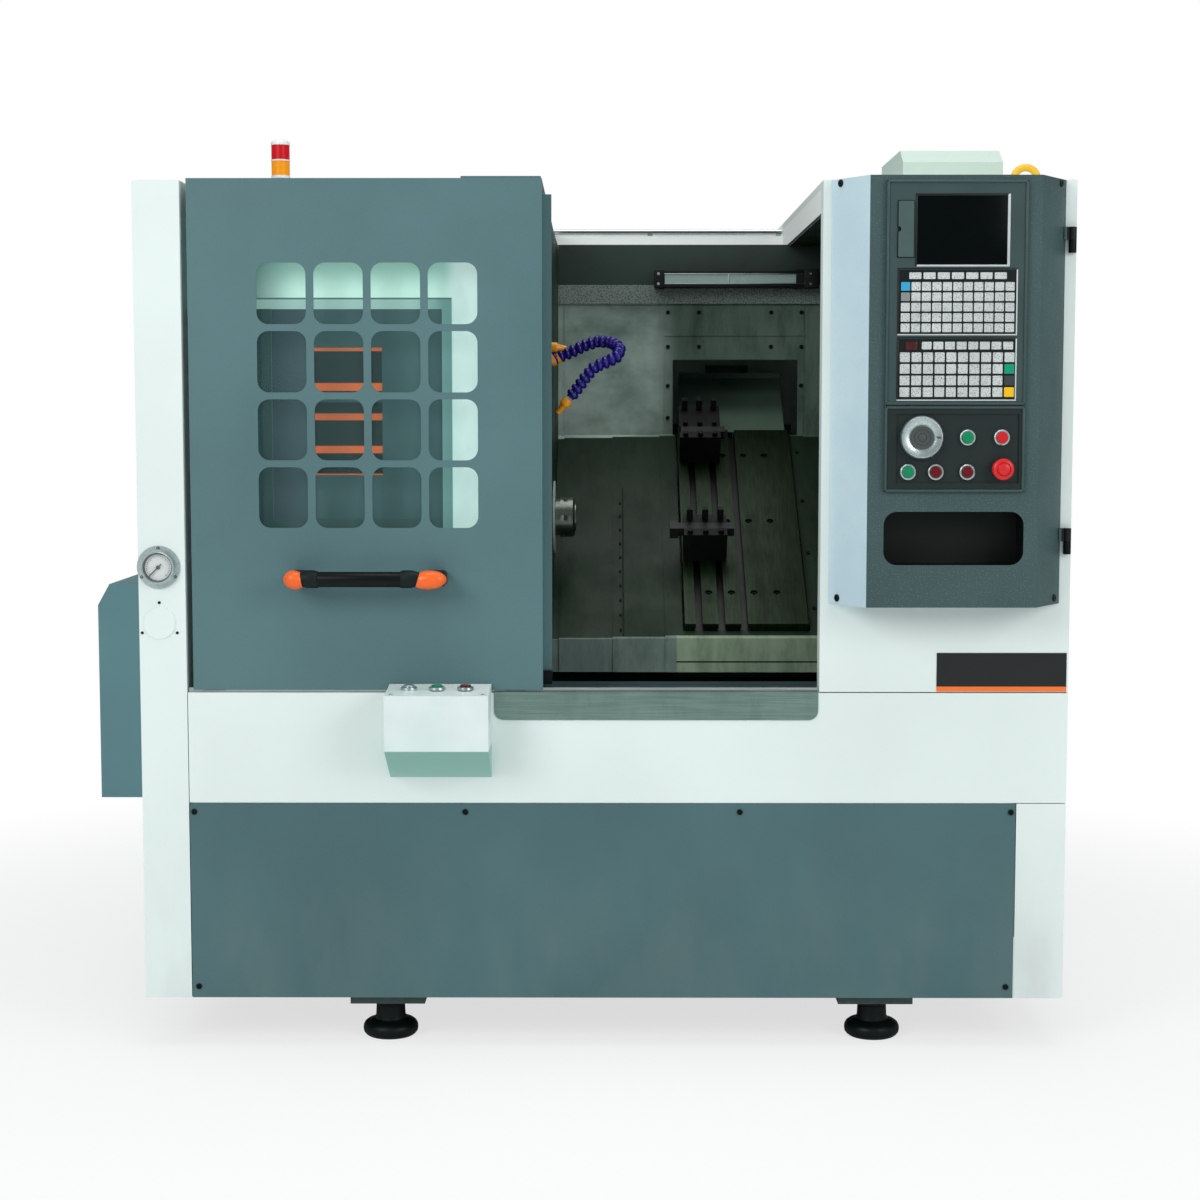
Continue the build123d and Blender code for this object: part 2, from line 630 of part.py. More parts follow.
# Round guide bars on the rear roof and the flat rail under the door
with BuildPart() as door_rails:
    guide_x = (POST_RIGHT_X + SEAM, COLUMN_X - SEAM)
    for guide_y in GUIDE_YS:
        rod_x(guide_x, guide_y, GUIDE_Z, GUIDE_RADIUS)
        for post in range(5):
            post_x = guide_x[0] + 8 + post * (guide_x[1] - guide_x[0] - 16) / 4
            block((post_x - 6, post_x + 6), (guide_y, guide_y + 6), (REAR_ROOF_Z, GUIDE_Z))
    block((POST_RIGHT_X + SEAM, SILL_X[1]), LOWER_RAIL_Y, LOWER_RAIL_Z)
    block((POST_RIGHT_X + SEAM, SILL_X[0] - SEAM), LOWER_RAIL_Y, (APRON_TOP_Z, LOWER_RAIL_Z[0]))
save(door_rails, "door_rails")

# White panel in front of the headstock, with a raised grey service hatch
hatch_x = (-581.0, -217.0)
hatch_z = (1000.0, 1438.0)
panel_front_y = CHAMBER_FRONT_Y
with BuildPart() as headstock_front_panel:
    block(
        (POST_RIGHT_X, CHAMBER_LEFT_X),
        (panel_front_y, panel_front_y + SHEET),
        (APRON_TOP_Z, LOW_ROOF_Z),
    )
    block(hatch_x, (panel_front_y - 4, panel_front_y), hatch_z)
    block(
        (hatch_x[0] + 19, hatch_x[1] - 19),
        (panel_front_y - 4, panel_front_y - 2),
        (hatch_z[0] + 19, hatch_z[1] - 19),
        mode=Mode.SUBTRACT,
    )
save(headstock_front_panel, "headstock_front_panel")

# Bare black plates: two on the hatch and one on the right column
with BuildPart() as blank_plates:
    for plate_z in ((1250, 1346), (1103, 1242)):
        block((-480, -351), (panel_front_y - 3, panel_front_y - 2), plate_z)
    block(NAME_PLATE_X, (FRONT_Y - 1, FRONT_Y), NAME_PLATE_Z)
save(blank_plates, "blank_plates")

# Stainless sill below the door opening
with BuildPart() as sill:
    rounded_slab_y(
        SILL_X,
        (FRONT_Y - SILL_THICKNESS, FRONT_Y),
        (SILL_BOTTOM_Z, APRON_TOP_Z + SILL_THICKNESS),
        SILL_RADIUS,
    )
    sill_top = (APRON_TOP_Z - SILL_RADIUS, APRON_TOP_Z + SILL_THICKNESS)
    block(SILL_X, (FRONT_Y - SILL_THICKNESS, FRONT_Y), sill_top)
    block(
        SILL_X,
        (FRONT_Y - SILL_THICKNESS, CHAMBER_FRONT_Y - 8),
        (APRON_TOP_Z, APRON_TOP_Z + SILL_THICKNESS),
    )
save(sill, "sill")

# Small button box below the door, with two bezels and a blank plug on top
bezel_z = middle((BOX_FRONT_Z[1], BOX_BACK_Z[1]))
with BuildPart() as button_box:
    prism_x(
        [
            (BOX_FRONT_Y, BOX_FRONT_Z[0]), (BOX_FRONT_Y, BOX_FRONT_Z[1]),
            (FRONT_Y, BOX_BACK_Z[1]), (FRONT_Y, BOX_BACK_Z[0]),
        ],
        BOX_X,
    )
    prism_x(
        [
            (BOX_FRONT_Y + BOX_WALL, BOX_FRONT_Z[0] + 2), (BOX_FRONT_Y + BOX_WALL, BOX_FRONT_Z[1] - BOX_WALL),
            (FRONT_Y, BOX_BACK_Z[1] - BOX_WALL), (FRONT_Y, BOX_BACK_Z[0] + 4),
        ],
        (BOX_X[0] + BOX_WALL, BOX_X[1] - BOX_WALL),
        mode=Mode.SUBTRACT,
    )
    for bezel_x in BOX_BUTTON_XS:
        rod_z(bezel_x, BOX_BUTTON_Y, (bezel_z - 2, bezel_z + 5), BEZEL_RADIUS)
    for bezel_x in BOX_BUTTON_XS[1:]:
        rod_z(bezel_x, BOX_BUTTON_Y, (bezel_z - 20, bezel_z + 5), BUTTON_HOLE_RADIUS, mode=Mode.SUBTRACT)
save(button_box, "button_box")

for button_name, button_x in (("box_button_green", BOX_BUTTON_XS[1]), ("box_button_red", BOX_BUTTON_XS[2])):
    with BuildPart() as box_button:
        rod_z(button_x, BOX_BUTTON_Y, (bezel_z - BUTTON_STEM, bezel_z + 5 + BUTTON_RISE), BUTTON_RADIUS)
        fillet(box_button.edges().group_by(Axis.Z)[-1], 1.5)
    save(box_button, button_name)

# Pressure gauge on the left post
with BuildPart() as gauge_case:
    rod_y(GAUGE_X, (FRONT_Y - 3, FRONT_Y), GAUGE_Z, GAUGE_FLANGE_RADIUS)
    rod_y(GAUGE_X, (FRONT_Y - GAUGE_DEPTH, FRONT_Y), GAUGE_Z, GAUGE_RADIUS)
    dial_y = FRONT_Y - 5
    rod_y(GAUGE_X, (FRONT_Y - GAUGE_DEPTH, dial_y), GAUGE_Z, GAUGE_RADIUS - 3, mode=Mode.SUBTRACT)
    for turn in (90, 210, 330):
        rod_y(
            GAUGE_X + 36 * cos(radians(turn)),
            (FRONT_Y - 5, FRONT_Y - 3),
            GAUGE_Z + 36 * sin(radians(turn)),
            2.5,
        )
save(gauge_case, "gauge_case")

# Gauge needle, which points to the lower left at no pressure
needle_y = (dial_y - 5, dial_y - 0.4)
with BuildPart() as gauge_needle:
    rod_y(GAUGE_X, needle_y, GAUGE_Z, 3.5)
    with BuildSketch(Plane.XZ.offset(-needle_y[0] - 1.5)) as pointer:
        with Locations(Location((GAUGE_X, GAUGE_Z, 0), (0, 0, 225))):
            with Locations((8, 0)):
                Rectangle(34, 2.2)
    extrude(pointer.sketch, amount=1.2)
save(gauge_needle, "gauge_needle")

# Cover over the spindle motor on the left side
with BuildPart() as motor_cover:
    prism_y(
        [
            (LEFT_X, POD_Z[0]), (POD_X, POD_Z[0]), (POD_X, POD_Z[1] - POD_CHAMFER[1]),
            (POD_X + POD_CHAMFER[0], POD_Z[1]), (LEFT_X, POD_Z[1]),
        ],
        POD_Y,
    )
    prism_y(
        [
            (LEFT_X, POD_Z[0] + SHEET), (POD_X + SHEET, POD_Z[0] + SHEET),
            (POD_X + SHEET, POD_Z[1] - POD_CHAMFER[1]),
            (POD_X + POD_CHAMFER[0] + 1, POD_Z[1] - SHEET), (LEFT_X, POD_Z[1] - SHEET),
        ],
        (POD_Y[0] + SHEET, POD_Y[1] - SHEET),
        mode=Mode.SUBTRACT,
    )
    for louvre in range(6):
        louvre_z = POD_Z[0] + 90 + louvre * 35
        block(
            (POD_X, POD_X + SHEET), (POD_Y[0] + 150, POD_Y[1] - 150), (louvre_z, louvre_z + 9),
            mode=Mode.SUBTRACT,
        )
save(motor_cover, "motor_cover")

# Lifting eye on the right roof
with BuildPart() as eye_bolt:
    rod_z(EYE_X, EYE_Y, (BODY_TOP_Z, BODY_TOP_Z + 12), 17)
    with Locations(Location((EYE_X, EYE_Y, BODY_TOP_Z + 12 + 24.5), (90, 0, 0))):
        Torus(24, 7.5)
save(eye_bolt, "eye_bolt")

# Signal tower: post, two lenses, rings and cap
with BuildPart() as tower_light:
    ring = 3.0
    rod_z(TOWER_X, TOWER_Y, (REAR_ROOF_Z, REAR_ROOF_Z + 6), TOWER_RADIUS)
    rod_z(TOWER_X, TOWER_Y, (REAR_ROOF_Z, TOWER_LENS_Z - 12), 11)
    rod_z(TOWER_X, TOWER_Y, (TOWER_LENS_Z - 12, TOWER_LENS_Z), TOWER_RADIUS)
    lens_bottom = TOWER_LENS_Z
    for lens in range(2):
        rod_z(TOWER_X, TOWER_Y, (lens_bottom, lens_bottom + TOWER_LENS_HEIGHT), TOWER_RADIUS - 1)
        lens_bottom = lens_bottom + TOWER_LENS_HEIGHT
        rod_z(TOWER_X, TOWER_Y, (lens_bottom, lens_bottom + ring), TOWER_RADIUS)
        lens_bottom = lens_bottom + ring
    rod_z(TOWER_X, TOWER_Y, (lens_bottom, lens_bottom + 9), TOWER_RADIUS)
    fillet(tower_light.edges().group_by(Axis.Z)[-1], 5)
save(tower_light, "tower_light")

# Work lamp below the ledge, with two end blocks and a diffuser between two rails
wall_front_y = COVER_WALL_Y - 0.5
ledge_front_y = wall_front_y - LEDGE_THICKNESS
lamp_y = (ledge_front_y - LAMP_DEPTH, ledge_front_y)
with BuildPart() as work_lamp:
    block((LAMP_X[0] + 20, LAMP_X[1] - 20), lamp_y, LAMP_Z)
    block(
        (LAMP_X[0] + 20, LAMP_X[1] - 20),
        (lamp_y[0], lamp_y[0] + 3),
        (LAMP_Z[0] + 5, LAMP_Z[1] - 5),
        mode=Mode.SUBTRACT,
    )
    for end_x in (LAMP_X[0], LAMP_X[1] - 20):
        block((end_x, end_x + 20), (lamp_y[0] - 2, lamp_y[1]), (LAMP_Z[0] - 2, LAMP_Z[1] + 2))
save(work_lamp, "work_lamp")

# Chamber guards: left wall with the spindle hole, right wall and its front, and fixed way covers
lip_front_y = slope_point(COVER_LOW_S, COVER_N)[0] - 2
wall_n = COVER_N + 2
wall_back_y = COVER_WALL_Y - 2
with BuildPart() as chamber_guards:
    for wall_x, front_y in ((CHAMBER_LEFT_X, CHAMBER_FRONT_Y), (CHAMBER_RIGHT_X, FRONT_Y + COLUMN_RETURN)):
        prism_x(
            [
                (front_y, CHAMBER_BOTTOM_Z), (front_y, LOW_ROOF_Z - SHEET),
                (ledge_front_y - 1, LOW_ROOF_Z - SHEET), (ledge_front_y - 1, LEDGE_Z[0] - 2),
                (wall_back_y, LEDGE_Z[0] - 2), slope_point(slope_s(wall_back_y, wall_n), wall_n),
                slope_point(slope_s(lip_front_y, wall_n), wall_n), (lip_front_y, CHAMBER_BOTTOM_Z),
            ],
            (wall_x, wall_x + SHEET),
        )
    rod_x(
        (CHAMBER_LEFT_X, CHAMBER_LEFT_X + SHEET), SPINDLE_Y, SPINDLE_Z, HOUSING_RADIUS + 0.5,
        mode=Mode.SUBTRACT,
    )
    liner_x = (COLUMN_X + SHEET, CHAMBER_RIGHT_X)
    liner_y = FRONT_Y + COLUMN_RETURN
    liner_z = (CHAMBER_BOTTOM_Z, LOW_ROOF_Z - SHEET)
    block(liner_x, (liner_y, liner_y + SHEET), liner_z)
    block(liner_x, (liner_y, ledge_front_y - 1), (liner_z[1] - SHEET, liner_z[1]))
    for fixed_x in FIXED_COVER_XS:
        prism_x(cover_outline(3), fixed_x)
save(chamber_guards, "chamber_guards")

# Rear wall of the chamber with its ledge, and the flange that reaches the rear roof
with BuildPart() as chamber_rear_wall:
    rear_x = (CHAMBER_LEFT_X + SHEET, CHAMBER_RIGHT_X)
    block(rear_x, (wall_front_y, wall_front_y + SHEET), (COVER_TOP_Z + 4, LOW_ROOF_Z))
    block(rear_x, (ledge_front_y, wall_front_y), LEDGE_Z)
    block(rear_x, (wall_front_y, REAR_ROOF_Y + SHEET), (LOW_ROOF_Z - SHEET, LOW_ROOF_Z))
save(chamber_rear_wall, "chamber_rear_wall")

# Chip tray on the bed's front ledge
with BuildPart() as chip_tray:
    block(TRAY_X, TRAY_Y, (BED_LEDGE_Z, TRAY_TOP_Z))
    block(
        (TRAY_X[0] + SHEET, TRAY_X[1] - SHEET),
        (TRAY_Y[0] + SHEET, TRAY_Y[1] - SHEET),
        (BED_LEDGE_Z + SHEET, TRAY_TOP_Z),
        mode=Mode.SUBTRACT,
    )
save(chip_tray, "chip_tray")

# Headstock casting with its spindle bearings
with BuildPart() as headstock:
    slope_block(HEADSTOCK_X, (-HEADSTOCK_HALF, HEADSTOCK_HALF), (BED_N, SPINDLE_HEIGHT))
    rod_x(HEADSTOCK_X, SPINDLE_Y, SPINDLE_Z, HEADSTOCK_HALF)
    rod_x((HEADSTOCK_X[1], CHAMBER_LEFT_X + 6), SPINDLE_Y, SPINDLE_Z, HOUSING_RADIUS)
    housing_x = (HEADSTOCK_X[0], CHAMBER_LEFT_X + 6)
    rod_x(housing_x, SPINDLE_Y, SPINDLE_Z, NOSE_RADIUS + 4, mode=Mode.SUBTRACT)
    for bearing_x in ((HEADSTOCK_X[0], HEADSTOCK_X[0] + 26), (HEADSTOCK_X[1] - 52, HEADSTOCK_X[1])):
        rod_x(bearing_x, SPINDLE_Y, SPINDLE_Z, BEARING_RADIUS, mode=Mode.SUBTRACT)
    slope_block(
        (HEADSTOCK_X[0] + 40, HEADSTOCK_X[1] - 70),
        (-HEADSTOCK_HALF + 25, HEADSTOCK_HALF - 25),
        (BED_N, BED_N + 190),
        mode=Mode.SUBTRACT,
    )
with BuildPart() as bearings:
    for bearing_x in (HEADSTOCK_X[0] + 2, HEADSTOCK_X[1] - 50, HEADSTOCK_X[1] - 25):
        rod_x((bearing_x, bearing_x + 24), SPINDLE_Y, SPINDLE_Z, BEARING_RADIUS)
        rod_x(
            (bearing_x, bearing_x + 24), SPINDLE_Y, SPINDLE_Z, SHAFT_RADIUS + RUNNING_GAP,
            mode=Mode.SUBTRACT,
        )
headstock_set = Compound(children=[*headstock.part.solids(), *bearings.part.solids()])
headstock_set.label = "headstock"
export_step(headstock_set, "parts/headstock.step")

# Spindle: shaft, closing nut, collet with its threaded tail, and pulley, each a solid of its own
collet_seat_x = NOSE_END_X - COLLET_SEAT
with BuildPart() as shaft:
    rod_x((BELT_X[0] - 4, HEADSTOCK_X[1]), SPINDLE_Y, SPINDLE_Z, SHAFT_RADIUS)
    rod_x((HEADSTOCK_X[1], NOSE_END_X), SPINDLE_Y, SPINDLE_Z, NOSE_RADIUS)
    rod_x((BELT_X[0] - 4, NOSE_END_X), SPINDLE_Y, SPINDLE_Z, SPINDLE_BORE_RADIUS, mode=Mode.SUBTRACT)
    rod_x((collet_seat_x, NOSE_END_X), SPINDLE_Y, SPINDLE_Z, COLLET_RADIUS, mode=Mode.SUBTRACT)
with BuildPart() as closing_nut:
    rod_x((NOSE_END_X, SPINDLE_FACE_X), SPINDLE_Y, SPINDLE_Z, NUT_RADIUS)
    rod_x((NOSE_END_X, SPINDLE_FACE_X), SPINDLE_Y, SPINDLE_Z, COLLET_RADIUS, mode=Mode.SUBTRACT)
    chamfer(closing_nut.edges().group_by(Axis.X)[-1].sort_by(SortBy.LENGTH)[-1], 4)
    for turn in range(6):
        slot_y = SPINDLE_Y + NUT_RADIUS * cos(turn * pi / 3)
        slot_z = SPINDLE_Z + NUT_RADIUS * sin(turn * pi / 3)
        rod_x((NOSE_END_X, SPINDLE_FACE_X - 8), slot_y, slot_z, 5, mode=Mode.SUBTRACT)
with BuildPart() as collet:
    rod_x((collet_seat_x, SPINDLE_FACE_X + 2), SPINDLE_Y, SPINDLE_Z, COLLET_RADIUS)
    rod_x((collet_seat_x - COLLET_TAIL, collet_seat_x), SPINDLE_Y, SPINDLE_Z, SPINDLE_BORE_RADIUS)
    rod_x(
        (collet_seat_x - COLLET_TAIL, SPINDLE_FACE_X + 2), SPINDLE_Y, SPINDLE_Z, COLLET_BORE_RADIUS,
        mode=Mode.SUBTRACT,
    )
with BuildPart() as spindle_pulley:
    rod_x(BELT_X, SPINDLE_Y, SPINDLE_Z, SPINDLE_PULLEY_RADIUS)
    for flange_x in (BELT_X[0], BELT_X[1] - PULLEY_FLANGE):
        rod_x(
            (flange_x, flange_x + PULLEY_FLANGE), SPINDLE_Y, SPINDLE_Z,
            SPINDLE_PULLEY_RADIUS + BELT_THICKNESS,
        )
    rod_x(BELT_X, SPINDLE_Y, SPINDLE_Z, SHAFT_RADIUS, mode=Mode.SUBTRACT)
spindle = Compound(children=[shaft.part, closing_nut.part, collet.part, spindle_pulley.part])
spindle.label = "spindle"
export_step(spindle, "parts/spindle.step")

# Motor pulley on the motor's shaft
with BuildPart() as motor_pulley:
    rod_x(BELT_X, MOTOR_Y, MOTOR_Z, MOTOR_PULLEY_RADIUS)
    for flange_x in (BELT_X[0], BELT_X[1] - PULLEY_FLANGE):
        rod_x(
            (flange_x, flange_x + PULLEY_FLANGE), MOTOR_Y, MOTOR_Z,
            MOTOR_PULLEY_RADIUS + BELT_THICKNESS,
        )
    rod_x((MOTOR_PLATE_X[0] - 40, BELT_X[1]), MOTOR_Y, MOTOR_Z, MOTOR_SHAFT_RADIUS)
save(motor_pulley, "motor_pulley")

# Spindle motor on the plate at the bed's left end
with BuildPart() as spindle_motor:
    body_x = (MOTOR_LEFT_X, MOTOR_PLATE_X[0] - 12)
    half = MOTOR_SQUARE / 2
    block(body_x, (MOTOR_Y - half, MOTOR_Y + half), (MOTOR_Z - half, MOTOR_Z + half))
    chamfer(spindle_motor.edges().filter_by(Axis.X), 28)
    block(
        (body_x[1], MOTOR_PLATE_X[0]),
        (MOTOR_Y - half - 12, MOTOR_Y + half + 12),
        (MOTOR_Z - half - 12, MOTOR_Z + half + 8),
    )
    rod_x(
        (MOTOR_PLATE_X[0] - 45, MOTOR_PLATE_X[0]), MOTOR_Y, MOTOR_Z,
        MOTOR_SHAFT_RADIUS + RUNNING_GAP, mode=Mode.SUBTRACT,
    )
save(spindle_motor, "spindle_motor")

# Drive belt round both pulleys
belt_gap = 0.3
belt_x = (BELT_X[0] + PULLEY_FLANGE + 1, BELT_X[1] - PULLEY_FLANGE - 1)
with BuildPart() as drive_belt:
    for growth, belt_mode in ((BELT_THICKNESS, Mode.ADD), (belt_gap, Mode.SUBTRACT)):
        with BuildSketch(Plane.YZ.offset(belt_x[0])) as loop:
            with Locations((SPINDLE_Y, SPINDLE_Z)):
                Circle(SPINDLE_PULLEY_RADIUS + growth)
            with Locations((MOTOR_Y, MOTOR_Z)):
                Circle(MOTOR_PULLEY_RADIUS + growth)
            make_hull()
        extrude(amount=belt_x[1] - belt_x[0], mode=belt_mode)
save(drive_belt, "drive_belt")

# Rails, end bearings and servo motor that carry and drive the saddle
z_block_n = (BED_N, Z_SCREW_N + 32)
z_block_s = (Z_SCREW_S - 30, Z_SCREW_S + 30)
with BuildPart() as z_drive:
    for rail_s in Z_RAIL_S:
        slope_block(
            Z_RAIL_X, (rail_s - Z_RAIL_WIDTH / 2, rail_s + Z_RAIL_WIDTH / 2), (BED_N, BED_N + Z_RAIL_HEIGHT),
        )
    left_block_x = (Z_RAIL_X[0] - 32, Z_RAIL_X[0] - 6)
    right_block_x = (BED_RIGHT_X - 26, BED_RIGHT_X)
    for block_x in (left_block_x, right_block_x):
        slope_block(block_x, z_block_s, z_block_n)
    slope_block(
        (BED_RIGHT_X, BED_RIGHT_X + 12), (Z_SCREW_S - 62, Z_SCREW_S + 62), (Z_SCREW_N - 62, Z_SCREW_N + 62),
    )
    slope_block(
        (BED_RIGHT_X + 12, BED_RIGHT_X + 148),
        (Z_SCREW_S - 58, Z_SCREW_S + 58),
        (Z_SCREW_N - 58, Z_SCREW_N + 58),
    )
    screw_y, screw_z = slope_point(Z_SCREW_S, Z_SCREW_N)
    rod_x(
        (left_block_x[0] + 2, BED_RIGHT_X), screw_y, screw_z, Z_SCREW_RADIUS + RUNNING_GAP,
        mode=Mode.SUBTRACT,
    )
save(z_drive, "z_drive")

with BuildPart() as z_ball_screw:
    rod_x((left_block_x[0] + 3, BED_RIGHT_X - 1), screw_y, screw_z, Z_SCREW_RADIUS)
save(z_ball_screw, "z_ball_screw")

# Saddle casting with its rail blocks, screw nut and posts for the cover
with BuildPart() as saddle:
    slope_block(SADDLE_X, SADDLE_S, SADDLE_N)
    for rail_s in Z_RAIL_S:
        slope_block(SADDLE_X, (rail_s - 45, rail_s + 45), (BED_N + 4, SADDLE_N[0]))
        slope_block(
            SADDLE_X,
            (rail_s - Z_RAIL_WIDTH / 2 - RAIL_GAP, rail_s + Z_RAIL_WIDTH / 2 + RAIL_GAP),
            (BED_N, BED_N + Z_RAIL_HEIGHT + RAIL_GAP),
            mode=Mode.SUBTRACT,
        )
    slope_block((330, 394), (Z_SCREW_S - 28, Z_SCREW_S + 28), (BED_N + 4, SADDLE_N[0]))
    rod_x(SADDLE_X, screw_y, screw_z, Z_SCREW_RADIUS + RUNNING_GAP, mode=Mode.SUBTRACT)
    for post_x in (SADDLE_X[0], SADDLE_X[1] - 14):
        for post_s in (-225, 90, 405):
            slope_block((post_x, post_x + 14), (post_s, post_s + 20), (SADDLE_N[1], COVER_N - COVER_SHEET))
save(saddle, "saddle")

# Moving way covers: the saddle's frame with its opening, and one wing each side
with BuildPart() as saddle_cover:
    prism_x(cover_outline(0), SADDLE_COVER_X)
    opening_s = (PLATE_S[0] - 4, slope_s(COVER_WALL_Y + 10, COVER_N))
    slope_block((PLATE_X[0] - 4, PLATE_X[1] + 4), opening_s, (COVER_N - 3, COVER_N + 3), mode=Mode.SUBTRACT)
    fold_z = slope_point(slope_s(COVER_WALL_Y, COVER_N), COVER_N)[1]
    block(
        GUARD_OPENING_X, (COVER_WALL_Y - 2, COVER_WALL_Y + 4), (fold_z - 2, GUARD_OPENING_Z),
        mode=Mode.SUBTRACT,
    )
with BuildPart() as cover_wings:
    for wing_x in OUTER_COVER_XS:
        prism_x(cover_outline(1), wing_x)
cover_set = Compound(children=[*saddle_cover.part.solids(), *cover_wings.part.solids()])
cover_set.label = "saddle_cover"
export_step(cover_set, "parts/saddle_cover.step")

# Middle way covers, which follow the saddle at half its travel
with BuildPart() as middle_covers:
    for middle_x in MIDDLE_COVER_XS:
        prism_x(cover_outline(2), middle_x)
save(middle_covers, "middle_covers")

# Rails, end bearings and servo motor on the saddle that carry and drive the tool slide
x_block_x = (X_SCREW_X - 27, X_SCREW_X + 27)
with BuildPart() as x_drive:
    for rail_x in X_RAIL_XS:
        slope_block(
            (rail_x - X_RAIL_WIDTH / 2, rail_x + X_RAIL_WIDTH / 2),
            (SADDLE_S[0] + 10, SADDLE_S[1] - 10),
            (SADDLE_N[1], SADDLE_N[1] + X_RAIL_HEIGHT),
        )
    x_low_s = (SADDLE_S[0], SADDLE_S[0] + 22)
    x_high_s = (SADDLE_S[1] - 8, SADDLE_S[1] + 14)
    for block_s in (x_low_s, x_high_s):
        slope_block(x_block_x, block_s, (SADDLE_N[1], X_SCREW_N + 23))
    slope_block(
        (X_SCREW_X - 50, X_SCREW_X + 50),
        (x_high_s[1], x_high_s[1] + 136),
        (X_SCREW_N - 50, X_SCREW_N + 50),
    )
    slope_rod(
        X_SCREW_X, (x_low_s[0] + 3, x_high_s[1]), X_SCREW_N, X_SCREW_RADIUS + RUNNING_GAP,
        mode=Mode.SUBTRACT,
    )
save(x_drive, "x_drive")

with BuildPart() as x_ball_screw:
    slope_rod(X_SCREW_X, (x_low_s[0] + 4, x_high_s[1] - 1), X_SCREW_N, X_SCREW_RADIUS)
save(x_ball_screw, "x_ball_screw")

# Tool slide: T-slotted plate, slab, rail blocks and screw nut, with the way cover above it
slab_n = (-PLATE_THICKNESS - SLAB_THICKNESS, -PLATE_THICKNESS)
with BuildPart() as tool_plate:
    slope_block(PLATE_X, PLATE_S, (-PLATE_THICKNESS, 0))
    slope_block((PLATE_X[0] + 15, PLATE_X[1] - 15), (PLATE_S[0] + 36, PLATE_S[1] - 38), slab_n)
    for rail_x in X_RAIL_XS:
        for carriage_s in (PLATE_S[0] + 46, PLATE_S[1] - 128):
            slope_block(
                (rail_x - 30, rail_x + 30), (carriage_s, carriage_s + 80), (SADDLE_N[1] + 2, slab_n[0]),
            )
        slope_block(
            (rail_x - X_RAIL_WIDTH / 2 - RAIL_GAP, rail_x + X_RAIL_WIDTH / 2 + RAIL_GAP),
            PLATE_S,
            (SADDLE_N[1], SADDLE_N[1] + X_RAIL_HEIGHT + RAIL_GAP),
            mode=Mode.SUBTRACT,
        )
    slope_block((X_SCREW_X - 24, X_SCREW_X + 24), (60, 120), (SADDLE_N[1] + 2, slab_n[0]))
    slope_rod(X_SCREW_X, (50, 130), X_SCREW_N, X_SCREW_RADIUS + RUNNING_GAP, mode=Mode.SUBTRACT)
    for slot_x in SLOT_XS:
        slope_block(
            (slot_x - SLOT_WIDTH / 2, slot_x + SLOT_WIDTH / 2), PLATE_S, (-SLOT_DEPTH, 0), mode=Mode.SUBTRACT,
        )
        slope_block(
            (slot_x - SLOT_HEAD / 2, slot_x + SLOT_HEAD / 2), PLATE_S, (-SLOT_DEPTH, -SLOT_THROAT),
            mode=Mode.SUBTRACT,
        )
    for bolt_x in PLATE_BOLT_XS:
        for bolt_s in PLATE_BOLT_SS:
            slope_stud(bolt_x, bolt_s, (-12, 0), 7.5, mode=Mode.SUBTRACT)
    way_cover_s = (PLATE_S[1], PLATE_S[1] + PLATE_COVER_LENGTH)
    slope_block((PLATE_X[0] + 9, PLATE_X[1] - 7), way_cover_s, (-8, -6))
    slope_block((PLATE_X[0] + 9, PLATE_X[1] - 7), (way_cover_s[1] - 2, way_cover_s[1]), (-6, 8))
save(tool_plate, "tool_plate")

# Two tool blocks bolted on the plate, each with a groove for a shank and clamp screws
with BuildPart() as tool_blocks:
    for block_s in (LOWER_BLOCK_S, UPPER_BLOCK_S):
        slope_block(TOOL_BLOCK_X, block_s, (0, TOOL_BLOCK_HEIGHT))
        groove_s = (block_s[0] + SHANK_INSET, block_s[0] + SHANK_INSET + SHANK)
        slope_block(
            TOOL_BLOCK_X, groove_s, (TOOL_BLOCK_HEIGHT - SHANK, TOOL_BLOCK_HEIGHT), mode=Mode.SUBTRACT,
        )
        for clamp_x in CLAMP_XS:
            slope_block(
                (clamp_x - CLAMP_WIDTH / 2, clamp_x + CLAMP_WIDTH / 2),
                (block_s[1] - 6 - CLAMP_WIDTH, block_s[1] - 6),
                (TOOL_BLOCK_HEIGHT, TOOL_BLOCK_HEIGHT + CLAMP_HEIGHT),
            )
            slope_stud(clamp_x, block_s[0] + 9, (TOOL_BLOCK_HEIGHT, TOOL_BLOCK_HEIGHT + 5), 6)
save(tool_blocks, "tool_blocks")

# Turning tool in the lower block and a blank shank in the upper one
with BuildPart() as tools:
    low_shank_s = (LOWER_BLOCK_S[0] + SHANK_INSET, LOWER_BLOCK_S[0] + SHANK_INSET + SHANK)
    shank_n = (TOOL_BLOCK_HEIGHT - SHANK, TOOL_BLOCK_HEIGHT)
    slope_block((228, 344), low_shank_s, shank_n)
    slope_block((210, 228), (low_shank_s[0] - 5, low_shank_s[1] + 2), (shank_n[0] - 2, shank_n[1] + 4))
    high_shank_s = (UPPER_BLOCK_S[0] + SHANK_INSET, UPPER_BLOCK_S[0] + SHANK_INSET + SHANK)
    slope_block((242, 338), high_shank_s, shank_n)
save(tools, "tools")

